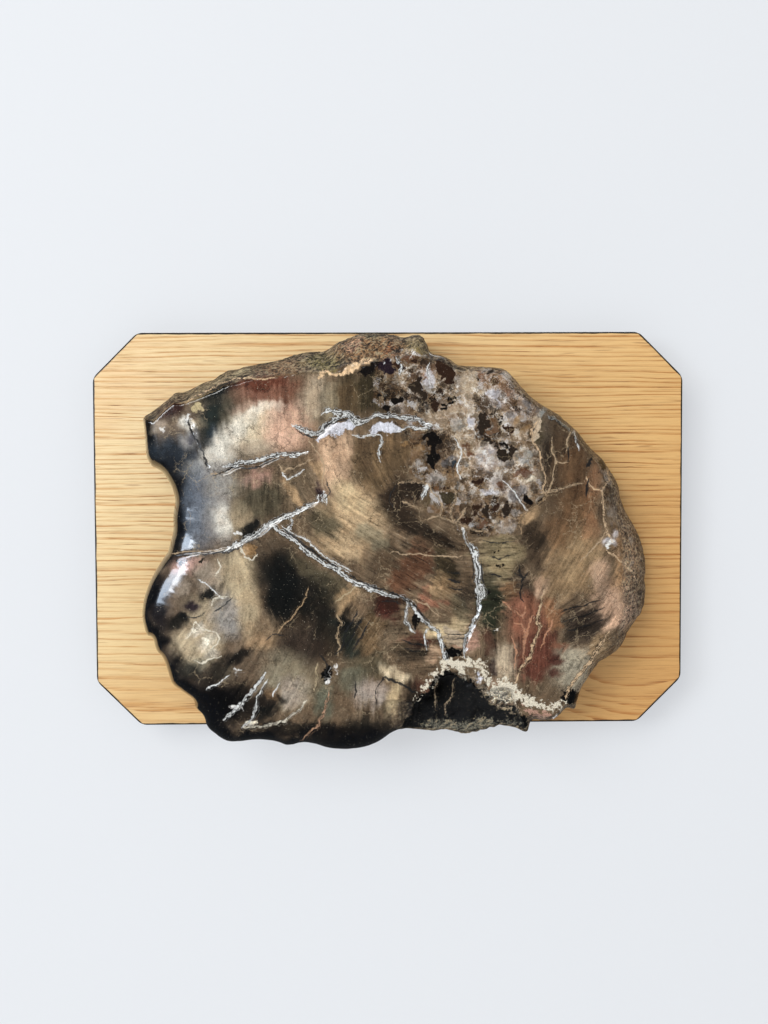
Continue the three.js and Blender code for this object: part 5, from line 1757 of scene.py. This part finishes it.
# The stone that isn't polished, with its crumbs and flakes
def addRawStone(tree, spot, raw, crumb, flake, tone):
    rockTone = tree.ramp(tree.noise(spot, 0.22, 5.0, 0.65), *stoneLook["rockTones"])
    tone = tree.mix(tree.attribute("sideStone") * 0.85, tone, rockTone)
    tone = tree.mix(raw, tone, tree.shade(tone, tree.step(crumb, 0.38, 0.62, 0.3, 1.9)))
    dark, pale = stoneLook["flakeTones"]
    paleShown = raw * tree.step(flake, 0.53, 0.6) * tree.step(tree.brightness(tone), 0.004, 0.03)
    tone = tree.mix(paleShown * 0.75, tone, pale)
    return tree.mix(raw * tree.step(flake, 0.46, 0.39) * 0.8, tone, dark)


def stoneMaterial():
    material, tree = newMaterial("petrified wood")
    spot = tree.place(1 / mm)  # millimetres from here on
    grain = {
        "wobble": tree.noise(spot, 1.1, 3.0, 0.6) - 0.5,
        "fine": tree.noise(spot, 2.4, 2.0, 0.6) - 0.5,
        "mottle": tree.noise(spot, 0.3, 4.0, 0.62) - 0.5,
        "fleck": tree.noise(spot, 0.95, 4.0, 0.75) - 0.5,
        "ragged": tree.noise(spot, 2.0, 3.0, 0.7) - 0.5,
    }
    ragged = grain["ragged"]
    bend = tree.noise(spot, 0.8, 3.0, 0.6, "Color")
    amount = (stoneLook["bendAmount"],) * 3
    bentSpot = tree.make("VectorMath", {"operation": "MULTIPLY_ADD"}, {0: bend, 1: amount, 2: spot})
    broken = tree.step(tree.noise(spot, 0.75, 4.0, 0.7), 0.36, 0.6, 0.45, 1.4)
    crumb = tree.noise(spot, 0.9, 5.0, 0.7)
    flake = tree.noise(tree.turned(spot, -25, stoneLook["flakeSize"]), 1.0, 4.0, 0.7)
    raw = tree.attribute("rawStone")
    inSlit = slitCover(tree, ragged, broken)

    wash = tree.attribute("stoneWash", "Color")
    light = tree.brightness(wash)
    tone = addBreccia(tree, bentSpot, grain, wash, light)
    tone = addFibres(tree, spot, grain, tone)
    tone = addCrackle(tree, spot, bentSpot, ragged, light, tone)
    tone = addVeins(tree, grain, broken, tone)
    # dark slits: painted shadow along the open cracks, and the stone's own dark lines elsewhere
    tone = tree.mix(inSlit * 0.9, tone, stoneLook["slitAndCrackShade"])
    tone = addCrust(tree, spot, grain["fine"], tone)
    tone = addRawStone(tree, spot, raw, crumb, flake, tone)
    tone = tree.make("Gamma", None, {"Color": tone, "Gamma": stoneLook["gamma"]})

    rough = raw * 0.6 + (grain["mottle"] + 0.5) * 0.05 + inSlit * 0.3 + stoneLook["polish"]
    height = crumb + flake * raw - inSlit * 0.5
    bump = tree.make("Bump", None, {
        "Strength": raw * 0.9 + 0.03, "Distance": stoneLook["bumpDistance"], "Height": height,
    })
    surface = tree.make("BsdfPrincipled", None, {
        "Base Color": tone, "Roughness": rough, "Normal": bump, "IOR": 1.54,
        "Coat Weight": 1 - raw, "Coat Roughness": 0.09,
    })
    finishTree(tree, surface)
    return material


def makeSlab():
    points, polygons, own, distanceIn, part = slabMesh()
    points = roughenFront(points, own, distanceIn, part)
    placed = framePoints(points) * mm
    low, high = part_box("petrified_wood_slab")
    placed = np.clip(placed, np.array(low), np.array(high))
    mesh = bpy.data.meshes.new("petrified_wood")
    mesh.from_pydata(placed.tolist(), [], polygons)
    mesh.validate()
    slab = addObject("petrified_wood", mesh)
    selectOnly(slab)
    bpy.ops.object.mode_set(mode="EDIT")
    bpy.ops.mesh.select_all(action="SELECT")
    bpy.ops.mesh.normals_make_consistent(inside=False)
    bpy.ops.object.mode_set(mode="OBJECT")
    bpy.ops.object.shade_smooth()
    paintSlab(mesh, points, own, distanceIn, part)
    mesh.materials.append(stoneMaterial())
    triangles = sum(len(polygon.vertices) - 2 for polygon in mesh.polygons)
    print("  slab triangles:", triangles)
    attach(slab, "root")
    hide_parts("petrified_wood_slab")


makeSlab()
print("slab made")
